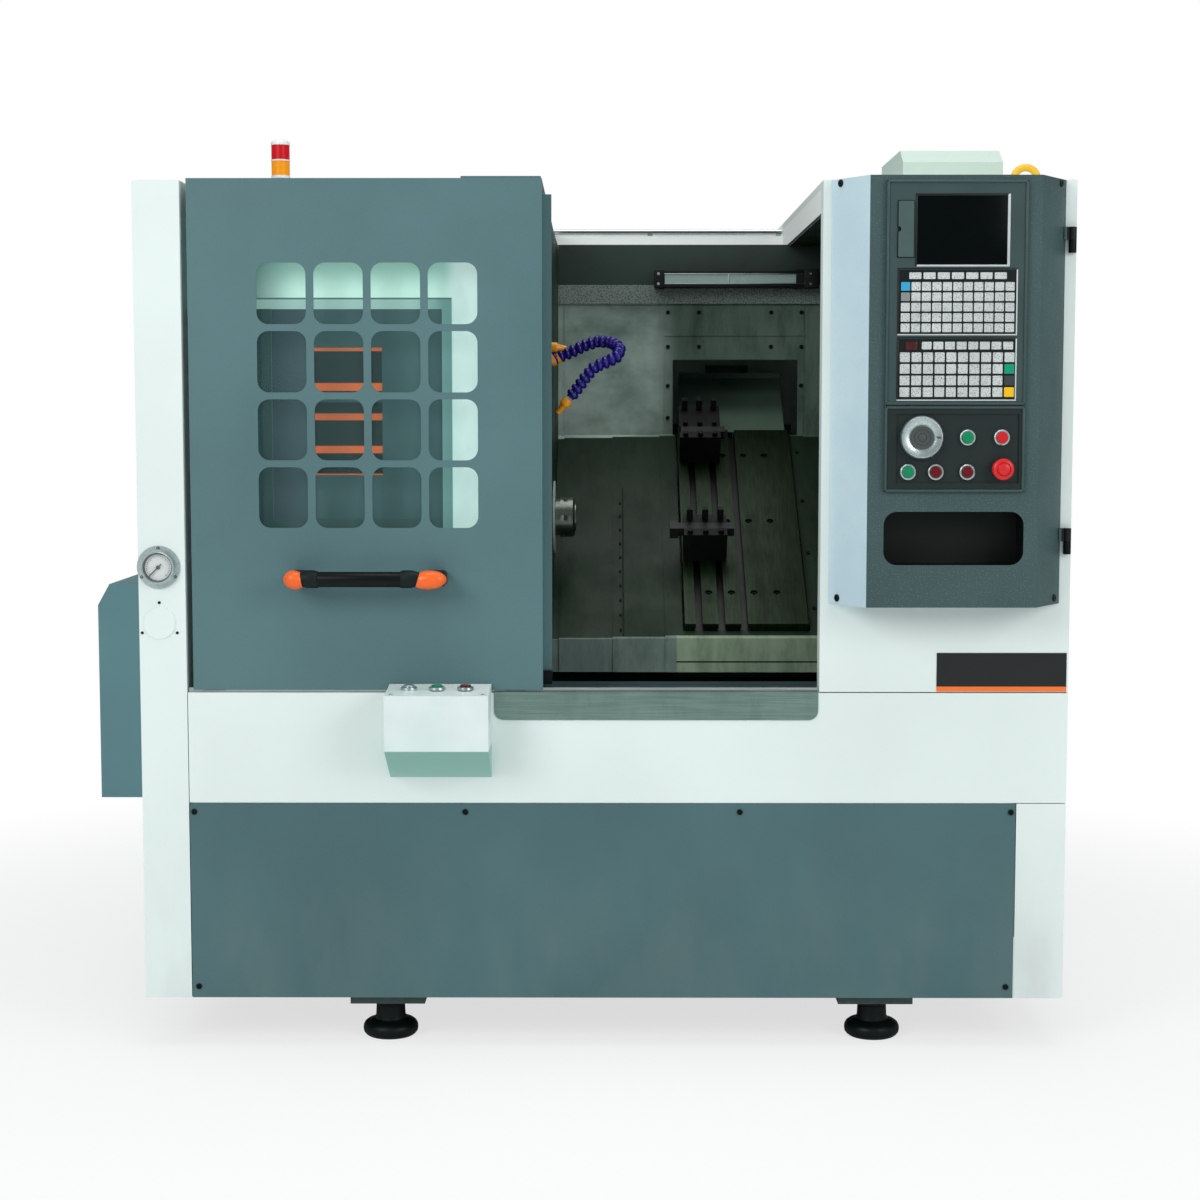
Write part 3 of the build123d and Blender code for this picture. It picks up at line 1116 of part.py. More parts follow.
# Sliding door: folded sheet with the window grid, a sloping roof and a sealing flange
door_top_back = (DOOR_ROOF_BACK_Y, DOOR_ROOF_BACK_Z)
flange_y = (DOOR_Y + DOOR_RETURN, DOOR_Y + DOOR_RETURN + SHEET)
with BuildPart() as door:
    block(DOOR_X, (DOOR_Y, DOOR_Y + SHEET), (DOOR_BOTTOM_Z, DOOR_TOP_Z))
    prism_x(
        [
            (DOOR_Y, DOOR_TOP_Z), door_top_back, (DOOR_ROOF_BACK_Y, DOOR_ROOF_BACK_Z - SHEET),
            (DOOR_Y, DOOR_TOP_Z - SHEET),
        ],
        DOOR_X,
    )
    prism_x(
        [
            (DOOR_Y + 3, DOOR_TOP_Z - 1), (DOOR_Y + 3, DOOR_TOP_Z + RAISED_ROOF_HEIGHT),
            (DOOR_ROOF_BACK_Y, DOOR_ROOF_BACK_Z + RAISED_ROOF_HEIGHT),
            (DOOR_ROOF_BACK_Y, DOOR_ROOF_BACK_Z - 1),
        ],
        RAISED_ROOF_X,
    )
    return_z = (LOWER_RAIL_Z[1] + 1, DOOR_TOP_Z - SHEET - 2)
    block((DOOR_X[0], DOOR_X[0] + SHEET), (DOOR_Y, DOOR_Y + 30), return_z)
    block((DOOR_X[1] - SHEET, DOOR_X[1]), (DOOR_Y, flange_y[1]), return_z)
    block((DOOR_X[1] - SHEET, DOOR_X[1] + FLANGE_WIDTH), flange_y, FLANGE_Z)
    with BuildSketch(Plane.XZ.offset(-DOOR_Y - SHEET)):
        with Locations((WINDOW_X, WINDOW_Z)):
            with GridLocations(PANE_PITCH_X, PANE_PITCH_Z, PANE_COUNT, PANE_COUNT):
                RectangleRounded(PANE_WIDTH, PANE_HEIGHT, PANE_RADIUS)
    extrude(amount=SHEET, mode=Mode.SUBTRACT)
save(door, "door")

# Clear pane behind the window grid
pane_half_x = ((PANE_COUNT - 1) * PANE_PITCH_X + PANE_WIDTH) / 2 + GLAZING_MARGIN
pane_half_z = ((PANE_COUNT - 1) * PANE_PITCH_Z + PANE_HEIGHT) / 2 + GLAZING_MARGIN
with BuildPart() as door_window:
    rounded_slab_y(
        (WINDOW_X - pane_half_x, WINDOW_X + pane_half_x),
        (DOOR_Y + SHEET, DOOR_Y + SHEET + GLAZING_THICKNESS),
        (WINDOW_Z - pane_half_z, WINDOW_Z + pane_half_z),
        10,
    )
save(door_window, "door_window")

# Door handle: a tube between two legs
handle_y = DOOR_Y - HANDLE_REACH
with BuildPart() as door_handle:
    rod_x(
        (HANDLE_X[0] + HANDLE_LEG_WIDTHS[0] / 2, HANDLE_X[1] - HANDLE_LEG_WIDTHS[1] / 2),
        handle_y, HANDLE_Z, HANDLE_RADIUS,
    )
    for leg_x in (
        (HANDLE_X[0], HANDLE_X[0] + HANDLE_LEG_WIDTHS[0]),
        (HANDLE_X[1] - HANDLE_LEG_WIDTHS[1], HANDLE_X[1]),
    ):
        leg_z = (HANDLE_Z - HANDLE_LEG_HEIGHT / 2, HANDLE_Z + HANDLE_LEG_HEIGHT / 2)
        rounded_slab_y(leg_x, (handle_y - HANDLE_RADIUS - 2, DOOR_Y), leg_z, 12)
save(door_handle, "door_handle")

# Glide shoes on the lower rail and the rear guide, and the rubber foot of the flange
with BuildPart() as door_shoes:
    for shoe_x in SHOE_XS:
        shoe_y = (DOOR_Y + SHEET, LOWER_RAIL_Y[1] + 5)
        block((shoe_x - 20, shoe_x + 20), shoe_y, (LOWER_RAIL_Z[0] + 2, LOWER_RAIL_Z[1] + 16))
        block(
            (shoe_x - 20, shoe_x + 20),
            (LOWER_RAIL_Y[0] - RAIL_GAP, LOWER_RAIL_Y[1] + RAIL_GAP),
            (LOWER_RAIL_Z[0], LOWER_RAIL_Z[1] + RAIL_GAP),
            mode=Mode.SUBTRACT,
        )
        block(
            (shoe_x - 14, shoe_x + 14),
            (DOOR_ROOF_BACK_Y, GUIDE_YS[0] + 10),
            (REAR_ROOF_Z + 0.5, GUIDE_Z + 12),
        )
    for shoe_x in SHOE_XS:
        rod_x((shoe_x - 14, shoe_x + 14), GUIDE_YS[0], GUIDE_Z, GUIDE_RADIUS + RAIL_GAP, mode=Mode.SUBTRACT)
        block(
            (shoe_x - 14, shoe_x + 14),
            (GUIDE_YS[0] - 0.5, GUIDE_YS[0] + 10),
            (REAR_ROOF_Z, GUIDE_Z),
            mode=Mode.SUBTRACT,
        )
    block(
        (DOOR_X[1], DOOR_X[1] + FLANGE_WIDTH),
        (flange_y[0] - 10, flange_y[0]),
        (FLANGE_Z[0], FLANGE_Z[0] + 26),
    )
save(door_shoes, "door_shoes")

# Pendant case: a box with two slanted cheeks, the storage tray and the moving hinge knuckles
with BuildPart() as pendant_case:
    wall = PENDANT_WALL
    prism_z(
        [
            (PENDANT_X[0], PENDANT_BACK_Y), (PENDANT_FACE_X[0], PENDANT_FACE_Y),
            (PENDANT_FACE_X[1], PENDANT_FACE_Y), (PENDANT_X[1], PENDANT_BACK_Y),
        ],
        PENDANT_Z,
    )
    prism_z(
        [
            (PENDANT_X[0] + 4, PENDANT_BACK_Y), (PENDANT_FACE_X[0] + 2, PENDANT_FACE_Y + wall),
            (PENDANT_FACE_X[1] - 2, PENDANT_FACE_Y + wall), (PENDANT_X[1] - 4, PENDANT_BACK_Y),
        ],
        (PENDANT_Z[0] + wall, PENDANT_Z[1] - wall),
        mode=Mode.SUBTRACT,
    )
    block(
        (UNIT_X[0] + 8, UNIT_X[1] - 8),
        (PENDANT_FACE_Y, PENDANT_FACE_Y + wall),
        (OPERATOR_Z[0] + 8, UNIT_Z[1] - 8),
        mode=Mode.SUBTRACT,
    )
    tray_y = (PENDANT_FACE_Y + wall, PENDANT_FACE_Y + wall + CUBBY_DEPTH)
    block((CUBBY_X[0] - 4, CUBBY_X[1] + 4), tray_y, (CUBBY_Z[0] - 4, CUBBY_Z[1] + 4))
    rounded_slab_y(
        CUBBY_X, (PENDANT_FACE_Y, PENDANT_FACE_Y + wall + 1), CUBBY_Z, CUBBY_RADIUS, mode=Mode.SUBTRACT,
    )
    block((CUBBY_X[0] - 2, CUBBY_X[1] + 2), (tray_y[0], tray_y[1] - 2), (CUBBY_Z[0] - 2, CUBBY_Z[1] + 2),
          mode=Mode.SUBTRACT)
    for hinge_z in HINGE_ZS:
        upper_z = (middle(hinge_z) + 0.3, hinge_z[1])
        rod_z(HINGE_X, HINGE_Y, upper_z, HINGE_RADIUS)
        block((PENDANT_X[1] - 4, HINGE_X), (HINGE_Y - 3, HINGE_Y + 3), upper_z)
        rod_z(HINGE_X, HINGE_Y, upper_z, PIN_RADIUS + RUNNING_GAP, mode=Mode.SUBTRACT)
save(pendant_case, "pendant_case")

# Fixed hinge halves with their pins, on the column
with BuildPart() as pendant_hinges:
    for hinge_z in HINGE_ZS:
        lower_z = (hinge_z[0], middle(hinge_z) - 0.3)
        rod_z(HINGE_X, HINGE_Y, lower_z, HINGE_RADIUS)
        rod_z(HINGE_X, HINGE_Y, hinge_z, PIN_RADIUS)
        block((HINGE_X - 4, HINGE_X + 6), (HINGE_Y, FRONT_Y), lower_z)
save(pendant_hinges, "pendant_hinges")

# Control unit: front frame with the screen recess, keys and the electronics box behind
with BuildPart() as control_unit:
    block(UNIT_X, (UNIT_FACE_Y, PENDANT_FACE_Y), UNIT_Z)
    fillet(control_unit.edges().filter_by(Axis.Y), 4)
    block((UNIT_X[0] + 12, UNIT_X[1] - 12), (PENDANT_FACE_Y, PENDANT_FACE_Y + 62), (UNIT_Z[0] + 8, UNIT_Z[1] - 12))
    block(SCREEN_X, (UNIT_FACE_Y, UNIT_FACE_Y + 2), SCREEN_Z, mode=Mode.SUBTRACT)
    block(
        (FLAP_X[0] + 3, FLAP_X[1] - 3), (UNIT_FACE_Y, UNIT_FACE_Y + 12), (FLAP_Z[0] + 8, FLAP_Z[1] - 8),
        mode=Mode.SUBTRACT,
    )
    key_y = (UNIT_FACE_Y - KEY_HEIGHT, UNIT_FACE_Y)
    with BuildSketch(Plane.XZ.offset(-UNIT_FACE_Y)):
        with Locations((721, 1415)):
            with GridLocations(19.1, 18.8, 11, 5):
                RectangleRounded(16.5, 15.5, 1.5)
        with Locations((721, 1472)):
            with GridLocations(26, 16, 7, 1):
                RectangleRounded(22, 12, 1.5)
        with Locations((721.5, 1292)):
            with GridLocations(21.3, 21.2, 10, 4):
                RectangleRounded(18, 17.5, 1.5)
        with Locations((740, 1345)):
            with GridLocations(21.3, 16, 8, 1):
                RectangleRounded(18, 14, 1.5)
    extrude(amount=KEY_HEIGHT)
save(control_unit, "control_unit")

# Flap over the data port, hinged on its right edge
with BuildPart() as usb_cover:
    block(FLAP_X, (UNIT_FACE_Y - FLAP_THICKNESS - 0.4, UNIT_FACE_Y - 0.4), FLAP_Z)
    fillet(usb_cover.edges().filter_by(Axis.Y), 2)
    rod_y(
        FLAP_X[0], (UNIT_FACE_Y - FLAP_THICKNESS - 0.4, UNIT_FACE_Y - 0.4), middle(FLAP_Z), 5,
        mode=Mode.SUBTRACT,
    )
save(usb_cover, "usb_cover")

# Operator plate with the button bezels and the collars of the wheel and the stop button
button_front_y = OPERATOR_FACE_Y - 6
with BuildPart() as operator_plate:
    block(UNIT_X, (UNIT_FACE_Y, PENDANT_FACE_Y), OPERATOR_Z)
    fillet(operator_plate.edges().filter_by(Axis.Y), 4)
    block(OPERATOR_RECESS_X, (UNIT_FACE_Y, OPERATOR_FACE_Y), OPERATOR_RECESS_Z, mode=Mode.SUBTRACT)
    for button_x, button_z in BUTTONS.values():
        rod_y(button_x, (button_front_y, OPERATOR_FACE_Y), button_z, BEZEL_RADIUS)
        rod_y(button_x, (button_front_y, PENDANT_FACE_Y), button_z, BUTTON_HOLE_RADIUS, mode=Mode.SUBTRACT)
    for hole_centre in (WHEEL_CENTRE, ESTOP_CENTRE):
        rod_y(hole_centre[0], (UNIT_FACE_Y, PENDANT_FACE_Y), hole_centre[1], BUTTON_HOLE_RADIUS,
              mode=Mode.SUBTRACT)
save(operator_plate, "operator_plate")

for button_name, (button_x, button_z) in BUTTONS.items():
    with BuildPart() as button:
        rod_y(button_x, (button_front_y - BUTTON_RISE, button_front_y + BUTTON_STEM), button_z, BUTTON_RADIUS)
        fillet(button.edges().group_by(Axis.Y)[0], 1.5)
    save(button, button_name)

# Red mushroom stop button
estop_y = OPERATOR_FACE_Y - 12
with BuildPart() as emergency_stop:
    rod_y(ESTOP_CENTRE[0], (estop_y - 2, estop_y + 40), ESTOP_CENTRE[1], BUTTON_RADIUS)
    rod_y(ESTOP_CENTRE[0], (estop_y - 16, estop_y), ESTOP_CENTRE[1], ESTOP_RADIUS)
    fillet(emergency_stop.edges().group_by(Axis.Y)[0], 5)
save(emergency_stop, "emergency_stop")

# Electronic handwheel with a raised hub
with BuildPart() as handwheel:
    wheel_back_y = OPERATOR_FACE_Y - 1
    rod_y(WHEEL_CENTRE[0], (wheel_back_y - 15, wheel_back_y), WHEEL_CENTRE[1], WHEEL_RADIUS)
    fillet(handwheel.edges().group_by(Axis.Y)[0], 3)
    rod_y(WHEEL_CENTRE[0], (wheel_back_y - 22, wheel_back_y - 15), WHEEL_CENTRE[1], WHEEL_RADIUS * 0.55)
    rod_y(WHEEL_CENTRE[0], (wheel_back_y, wheel_back_y + 30), WHEEL_CENTRE[1], BUTTON_RADIUS)
save(handwheel, "handwheel")

# Coolant tank that slides out at the back, with its pump
with BuildPart() as coolant_tank:
    block(TANK_X, TANK_Y, TANK_Z)
    block(
        (TANK_X[0] + SHEET, TANK_X[1] - SHEET),
        (TANK_Y[0] + SHEET, TANK_Y[1] - SHEET),
        (TANK_Z[0] + SHEET, TANK_Z[1]),
        mode=Mode.SUBTRACT,
    )
    pump_x = TANK_X[1] - 90
    pump_y = TANK_Y[1] - 80
    block((pump_x - 70, TANK_X[1]), (pump_y - 60, TANK_Y[1]), (TANK_Z[1] - 4, TANK_Z[1]))
    rod_z(pump_x, pump_y, (TANK_Z[0] + 20, TANK_Z[1]), 35)
    rod_z(pump_x, pump_y, (TANK_Z[1], TANK_Z[1] + 80), 45)
    handle_z = (TANK_Z[0] + 60, TANK_Z[0] + 75)
    block((60, 190), (TANK_Y[1], TANK_Y[1] + 10), handle_z)
save(coolant_tank, "coolant_tank")

# Segmented coolant hose on the chamber's left wall, with its nozzle and a spare nozzle
with BuildPart() as coolant_hose:
    first = Vector(*HOSE_POINTS[0]) + Vector(SHEET, 0, 0)
    block((first.X, first.X + 14), (first.Y - 20, first.Y + 20), (first.Z - 22, first.Z + 34))
    for start, stop in zip(HOSE_POINTS, HOSE_POINTS[1:]):
        run = Vector(*stop) - Vector(*start)
        place = Plane(origin=Vector(*start) + run * 0.5, z_dir=run)
        with Locations(place.location):
            Cone(HOSE_RADIUS, HOSE_RADIUS * 0.72, run.length)
        with Locations(Vector(*stop)):
            Sphere(HOSE_RADIUS * 0.82)
    tip = Vector(*HOSE_POINTS[-1]) - Vector(*HOSE_POINTS[-2])
    nozzle = Plane(origin=Vector(*HOSE_POINTS[-1]) + tip * 0.75, z_dir=tip)
    with Locations(nozzle.location):
        Cone(HOSE_RADIUS * 0.9, HOSE_RADIUS * 0.4, tip.length * 1.5)
    rod_x((first.X + 14, first.X + 34), first.Y, first.Z + 22, 8)
    block((CHAMBER_LEFT_X - 100, CHAMBER_LEFT_X + SHEET), (-400, -200), (1200, 1400), mode=Mode.SUBTRACT)
save(coolant_hose, "coolant_hose")
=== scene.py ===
# %% [markdown]
# Slant-bed turning and milling machine: the looks.
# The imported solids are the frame: their shapes and places stay as they are. This script gives
# each of them a finish, and adds the small pieces that only a close look needs: screw heads,
# grips, dials, keys, lenses and hose links. The machine's own frame holds: X to the operator's
# right, Y away from the operator, Z up, the origin on the floor. Sizes and places are written in
# millimetres and multiplied by MM, because Blender works in metres.

# %% The frame
from math import cos, radians, sin

import bpy
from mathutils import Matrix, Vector

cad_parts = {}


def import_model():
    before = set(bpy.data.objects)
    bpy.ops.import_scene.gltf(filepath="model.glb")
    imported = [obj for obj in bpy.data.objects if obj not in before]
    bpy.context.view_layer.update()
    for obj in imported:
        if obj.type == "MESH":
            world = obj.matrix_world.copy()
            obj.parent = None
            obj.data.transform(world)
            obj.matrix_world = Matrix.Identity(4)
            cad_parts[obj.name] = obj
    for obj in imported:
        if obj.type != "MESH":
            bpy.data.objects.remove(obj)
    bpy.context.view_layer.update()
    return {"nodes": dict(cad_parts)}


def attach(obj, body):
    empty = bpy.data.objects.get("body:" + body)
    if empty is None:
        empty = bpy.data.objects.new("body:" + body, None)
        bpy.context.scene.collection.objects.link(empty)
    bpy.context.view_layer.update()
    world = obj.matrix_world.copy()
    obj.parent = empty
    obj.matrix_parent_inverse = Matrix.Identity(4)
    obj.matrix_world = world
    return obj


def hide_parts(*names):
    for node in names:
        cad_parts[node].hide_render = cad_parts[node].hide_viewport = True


MM = 0.001
LEFT, RIGHT = (-1, 0, 0), (1, 0, 0)
FRONT, BACK = (0, -1, 0), (0, 1, 0)
UP = (0, 0, 1)

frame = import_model()
bpy.context.scene.view_settings.view_transform = "Standard"

# %% [markdown]
# The camera comes first, so that every later choice can be judged from the place where the
# photograph was taken. It is a long lens four metres in front of the machine, a little above
# the middle of the door and tipped five degrees down.

# %% Camera
FOCAL_PIXELS = 2166.0
PICTURE_PIXELS = 1200.0
SENSOR = 36.0
CAMERA_PLACE = (83.2, -4655.0, 1225.6)
TIPPED_DOWN, TURNED_LEFT = 4.987, 0.238

camera_data = bpy.data.cameras.new("viewpoint")
camera_data.sensor_width = SENSOR
camera_data.lens = FOCAL_PIXELS * SENSOR / PICTURE_PIXELS
camera_data.clip_end = 60
viewpoint = bpy.data.objects.new("viewpoint", camera_data)
viewpoint.location = Vector(CAMERA_PLACE) * MM
viewpoint.rotation_euler = (radians(90 - TIPPED_DOWN), 0, radians(TURNED_LEFT))
bpy.context.scene.collection.objects.link(viewpoint)
bpy.context.scene.camera = viewpoint
print("lens", round(camera_data.lens, 2), "mm")

# %% [markdown]
# A finish is a small graph of nodes. Written as plain expressions it stays readable: a Flow
# wraps one socket, and adding or multiplying two of them adds the Math node between them. The
# reflected forms let a plain number stand on either side, as in 1 - mask.

# %% Shader arithmetic
class Flow:
    """One shader socket that can be added, multiplied and compared."""

    def __init__(self, graph, socket):
        self.graph = graph
        self.socket = socket

    def __add__(self, other):
        return self.graph.math("ADD", self, other)

    def __radd__(self, other):
        return self.graph.math("ADD", other, self)

    def __sub__(self, other):
        return self.graph.math("SUBTRACT", self, other)

    def __rsub__(self, other):
        return self.graph.math("SUBTRACT", other, self)

    def __mul__(self, other):
        return self.graph.math("MULTIPLY", self, other)

    def __rmul__(self, other):
        return self.graph.math("MULTIPLY", other, self)

    def __gt__(self, other):
        return self.graph.math("GREATER_THAN", self, other)

    def __lt__(self, other):
        return self.graph.math("LESS_THAN", self, other)

    def out(self, key):
        """Another output of the same node."""
        return Flow(self.graph, self.socket.node.outputs[key])


print("flow operators ready")

# %% [markdown]
# A Graph is the tree of nodes behind a material or the world. One method adds any node: its
# settings come first, because they decide which sockets it has, then values or flows are joined
# to the sockets.

# %% Graph
class Graph:
    """A tree of shader nodes under construction."""

    def __init__(self, tree):
        self.tree = tree
        self.tree.nodes.clear()

    def join(self, value, socket):
        """Link a flow to a socket, or set a plain value on it."""
        if isinstance(value, Flow):
            self.tree.links.new(value.socket, socket)
        else:
            socket.default_value = value

    def node(self, kind, settings=None, inputs=None):
        """Add a node: its settings first, then the values or flows of its sockets."""
        made = self.tree.nodes.new(kind)
        for key, value in (settings or {}).items():
            setattr(made, key, value)
        for key, value in (inputs or {}).items():
            self.join(value, made.inputs[key])
        return Flow(self, made.outputs[0])

    def math(self, operation, first, second=0.0):
        return self.node("ShaderNodeMath", {"operation": operation}, {0: first, 1: second})

    def seen_directly(self):
        """A mask that is 1 for rays from the camera, also through a pane."""
        rays = self.node("ShaderNodeLightPath")
        return self.math("MAXIMUM", rays.out("Is Camera Ray"), rays.out("Is Transmission Ray"))


print("graph ready")

# %% [markdown]
# A Recipe is the Graph of one material, around a Principled shader. Its patterns read the
# object's own coordinates, so they stay on a piece that moves. Most tones are a blend of two
# colours along a slow noise, because no real surface is one flat colour.

# %% Recipe
class Recipe(Graph):
    """One material under construction, around a Principled shader."""

    def __init__(self, name):
        self.material = bpy.data.materials.new(name)
        self.material.use_nodes = True
        super().__init__(self.material.node_tree)
        self.output = self.tree.nodes.new("ShaderNodeOutputMaterial")
        self.shader = self.tree.nodes.new("ShaderNodeBsdfPrincipled")
        self.tree.links.new(self.shader.outputs[0], self.output.inputs[0])

    def set(self, **sockets):
        """Set the shader's own sockets, named with underscores, and give back the material."""
        for key, value in sockets.items():
            self.join(value, self.shader.inputs[key.replace("_", " ")])
        return self.material

    def place(self):
        return self.node("ShaderNodeTexCoord").out("Object")

    def axes(self):
        split = self.node("ShaderNodeSeparateXYZ", None, {0: self.place()})
        return split.out("X"), split.out("Y"), split.out("Z")

    def noise(self, scale, detail=3.0, stretch=(1, 1, 1), roughness=0.5):
        at = self.node(
            "ShaderNodeMapping", {"vector_type": "POINT"},
            {"Vector": self.place(), "Scale": stretch},
        )
        return self.node(
            "ShaderNodeTexNoise", None,
            {"Vector": at, "Scale": scale, "Detail": detail, "Roughness": roughness},
        ).out("Fac")

    def ramp(self, value, low, high, to_low=0.0, to_high=1.0):
        """Follow a value from low to high, and give to_low to to_high."""
        return self.node(
            "ShaderNodeMapRange", {"clamp": True, "interpolation_type": "SMOOTHSTEP"},
            {"Value": value, "From Min": low, "From Max": high,
             "To Min": to_low, "To Max": to_high},
        )

    def mix(self, share, first, second):
        return self.node(
            "ShaderNodeMix", {"data_type": "RGBA"}, {0: share, 6: first, 7: second}
        ).out(2)

    def blend(self, value, low, high, first, second):
        """Go from one colour to another while a value goes from low to high."""
        return self.mix(self.ramp(value, low, high), first, second)

    def bump(self, height, strength, distance):
        return self.node(
            "ShaderNodeBump", None, {"Height": height, "Strength": strength, "Distance": distance}
        )


print("recipe ready")

# %% [markdown]
# Colours are read from a picture as levels of 0 to 255, but shaders reckon with light, so rgb
# turns them into linear values. The masks paint a straight edge: each is 1 on one side of a
# place along an axis, and crosses to 0 within a fraction of a millimetre.

# %% Colours and masks
def rgb(red, green, blue, alpha=1.0):
    """A display colour, 0 to 255, as the linear colour that shaders use."""
    def linear(level):
        level = level / 255
        return level / 12.92 if level <= 0.04045 else ((level + 0.055) / 1.055) ** 2.4
    return (linear(red), linear(green), linear(blue), alpha)


def shade(colour, factor):
    """The same colour, lighter or darker."""
    return tuple(min(1.0, part * factor) for part in colour[:3]) + (colour[3],)


def beyond(value, place, soft=0.2):
    """A mask that is 1 past a place along an axis, in millimetres."""
    return value.graph.ramp(value, (place - soft) * MM, (place + soft) * MM)


def before(value, place, soft=0.2):
    """A mask that is 1 up to a place along an axis, in millimetres."""
    return value.graph.ramp(value, (place - soft) * MM, (place + soft) * MM, 1.0, 0.0)


def inside(value, low, high):
    """A mask that is 1 between two places along an axis, in millimetres."""
    return beyond(value, low) * before(value, high)


print("white level", round(rgb(255, 255, 255)[0], 3))

# %% [markdown]
# Most of the machine is painted sheet steel. Real powder coat is never one flat colour: it has
# a fine orange-peel surface, faint hand marks where people lean, and a little dust low down.
# One function makes every paint, so the whites match, and each panel only changes the strengths.

# %% Paint
def dusted(recipe, tone, smear, amount):
    """Dust dulls the lowest half metre, more where the smears are."""
    low_down = before(recipe.axes()[2], 300, 200) * recipe.ramp(smear, 0.35, 0.7)
    return recipe.mix(low_down * amount, tone, rgb(150, 148, 138))


def paint(name, colour, peel=0.25, marks=0.06, speckle=0.0, rough=0.42, gloss=0.08, dust=0.0):
    recipe = Recipe(name)
    cloud = recipe.noise(3.2, 4.0)
    smear = recipe.noise(9.0, 5.0, stretch=(1, 1, 0.35))
    tone = recipe.blend(cloud, 0.3, 0.75, shade(colour, 1 + marks), shade(colour, 1 - marks))
    if speckle:
        grains = recipe.noise(420.0, 2.0)
        tone = recipe.mix(recipe.ramp(grains, 0.52, 0.66) * speckle, tone, shade(colour, 1.55))
        pits = recipe.noise(510.0, 2.0)
        tone = recipe.mix(recipe.ramp(pits, 0.56, 0.7) * speckle, tone, shade(colour, 0.55))
    if dust:
        tone = dusted(recipe, tone, smear, dust)
    return recipe.set(
        Base_Color=tone,
        Roughness=recipe.ramp(smear, 0.25, 0.8, rough - 0.06, rough + 0.12),
        Normal=recipe.bump(recipe.noise(260.0, 2.0), peel, 0.0004),
        Coat_Weight=gloss,
        Coat_Roughness=0.25,
        Specular_IOR_Level=0.3,
    )


WHITE = rgb(226, 237, 234)
white_paint = paint("white_powder_coat", WHITE, marks=0.025, dust=0.25)
door_grey = paint("door_grey_paint", rgb(84, 116, 120), marks=0.07, speckle=0.08, rough=0.46)
lower_grey = paint(
    "lower_panel_paint", rgb(72, 104, 108), marks=0.08, speckle=0.12, rough=0.5, dust=0.1
)
pod_paint = paint("motor_cover_paint", rgb(92, 132, 138), marks=0.06, rough=0.48)
black_paint = paint("black_paint", rgb(5, 9, 8), marks=0.1, rough=0.5, gloss=0.0)
tank_paint = paint("tank_paint", rgb(70, 92, 96), marks=0.1, rough=0.45, dust=0.4)
yellow_paint = paint("lifting_eye_yellow", rgb(240, 190, 52), marks=0.1, rough=0.4)
print("materials so far", len(bpy.data.materials))

# %% [markdown]
# The chamber's covers are painted too, in three tones. The upright part at the back is pale, and
# darker right of 210 mm; all in front of it, the slope and the chamber's left wall, is dark green;
# the front lip is plain. One solid carries all three, so masks part them, and a noise that is
# stretched down the sheet draws streaks.

# %% Chamber guards
def guard_finish(name):
    recipe = Recipe(name)
    x, y, z = recipe.axes()
    runs = recipe.noise(14.0, 6.0, stretch=(1.6, 0.5, 0.5), roughness=0.7)
    wipes = recipe.noise(5.0, 5.0, stretch=(1.0, 1.0, 1.4), roughness=0.6)
    slope = recipe.blend(runs, 0.36, 0.74, rgb(32, 50, 36), rgb(20, 34, 24))
    upright = recipe.blend(wipes, 0.32, 0.7, rgb(200, 222, 212), rgb(118, 140, 130))
    dim = recipe.blend(runs, 0.36, 0.74, rgb(104, 126, 114), rgb(74, 92, 82))
    upright = recipe.mix(beyond(x, 210, 40), upright, dim)
    tone = recipe.mix(beyond(y, 264, 2), slope, upright)
    plain = recipe.blend(runs, 0.36, 0.74, rgb(112, 130, 124), rgb(84, 100, 94))
    olive = recipe.blend(runs, 0.36, 0.74, rgb(140, 160, 136), rgb(104, 124, 100))
    front = recipe.mix(beyond(x, 220, 1), plain, olive)
    joint = inside(z, 719.5, 722.5) * (x > 219 * MM)
    front = recipe.mix(joint, front, rgb(14, 20, 14))
    lip = before(y, -301.8, 0.3) * inside(z, 699, 790.5) * (x > -31 * MM)
    return recipe.set(
        Base_Color=recipe.mix(lip, tone, front),
        Roughness=recipe.ramp(wipes, 0.3, 0.75, 0.34, 0.56),
        Normal=recipe.bump(runs, 0.1, 0.0006),
        Specular_IOR_Level=0.12,
    )


guard_sheet = guard_finish("carriage_guard")
wall_guard = guard_finish("chamber_wall_guard")
print("guards", guard_sheet.name, wall_guard.name)

# %% [markdown]
# Cast iron keeps the grain of its sand mould under the paint. Machined steel shows the fine lines
# of the tool that cut it, so its noise is stretched along one axis; where coolant dries on it, a
# second, patchy noise browns it.

# %% Castings and steel
def casting(name, colour, rough=0.55):
    recipe = Recipe(name)
    skin = recipe.noise(85.0, 4.0)
    cloud = recipe.noise(5.0, 4.0)
    return recipe.set(
        Base_Color=recipe.blend(cloud, 0.3, 0.7, shade(colour, 1.08), shade(colour, 0.8)),
        Roughness=recipe.ramp(skin, 0.3, 0.7, rough - 0.08, rough + 0.1),
        Normal=recipe.bump(skin, 0.4, 0.001),
    )


def steel(name, colour, rough=0.28, stretch=(0.04, 1.0, 1.0), stain=0.0, metallic=1.0, sheen=0.5):
    recipe = Recipe(name)
    lines = recipe.noise(320.0, 3.0, stretch=stretch)
    cloud = recipe.noise(7.0, 4.0)
    tone = recipe.blend(lines, 0.35, 0.65, shade(colour, 1.06), shade(colour, 0.88))
    if stain:
        blot = recipe.noise(13.0, 6.0, stretch=(1.6, 0.6, 0.6), roughness=0.68)
        tone = recipe.mix(recipe.ramp(blot, 0.45, 0.66) * stain, tone, rgb(52, 54, 40))
    return recipe.set(
        Base_Color=tone,
        Metallic=metallic,
        Roughness=recipe.ramp(cloud, 0.25, 0.8, rough - 0.06, rough + 0.14),
        Normal=recipe.bump(lines, 0.08, 0.0003),
        Specular_IOR_Level=sheen,
    )


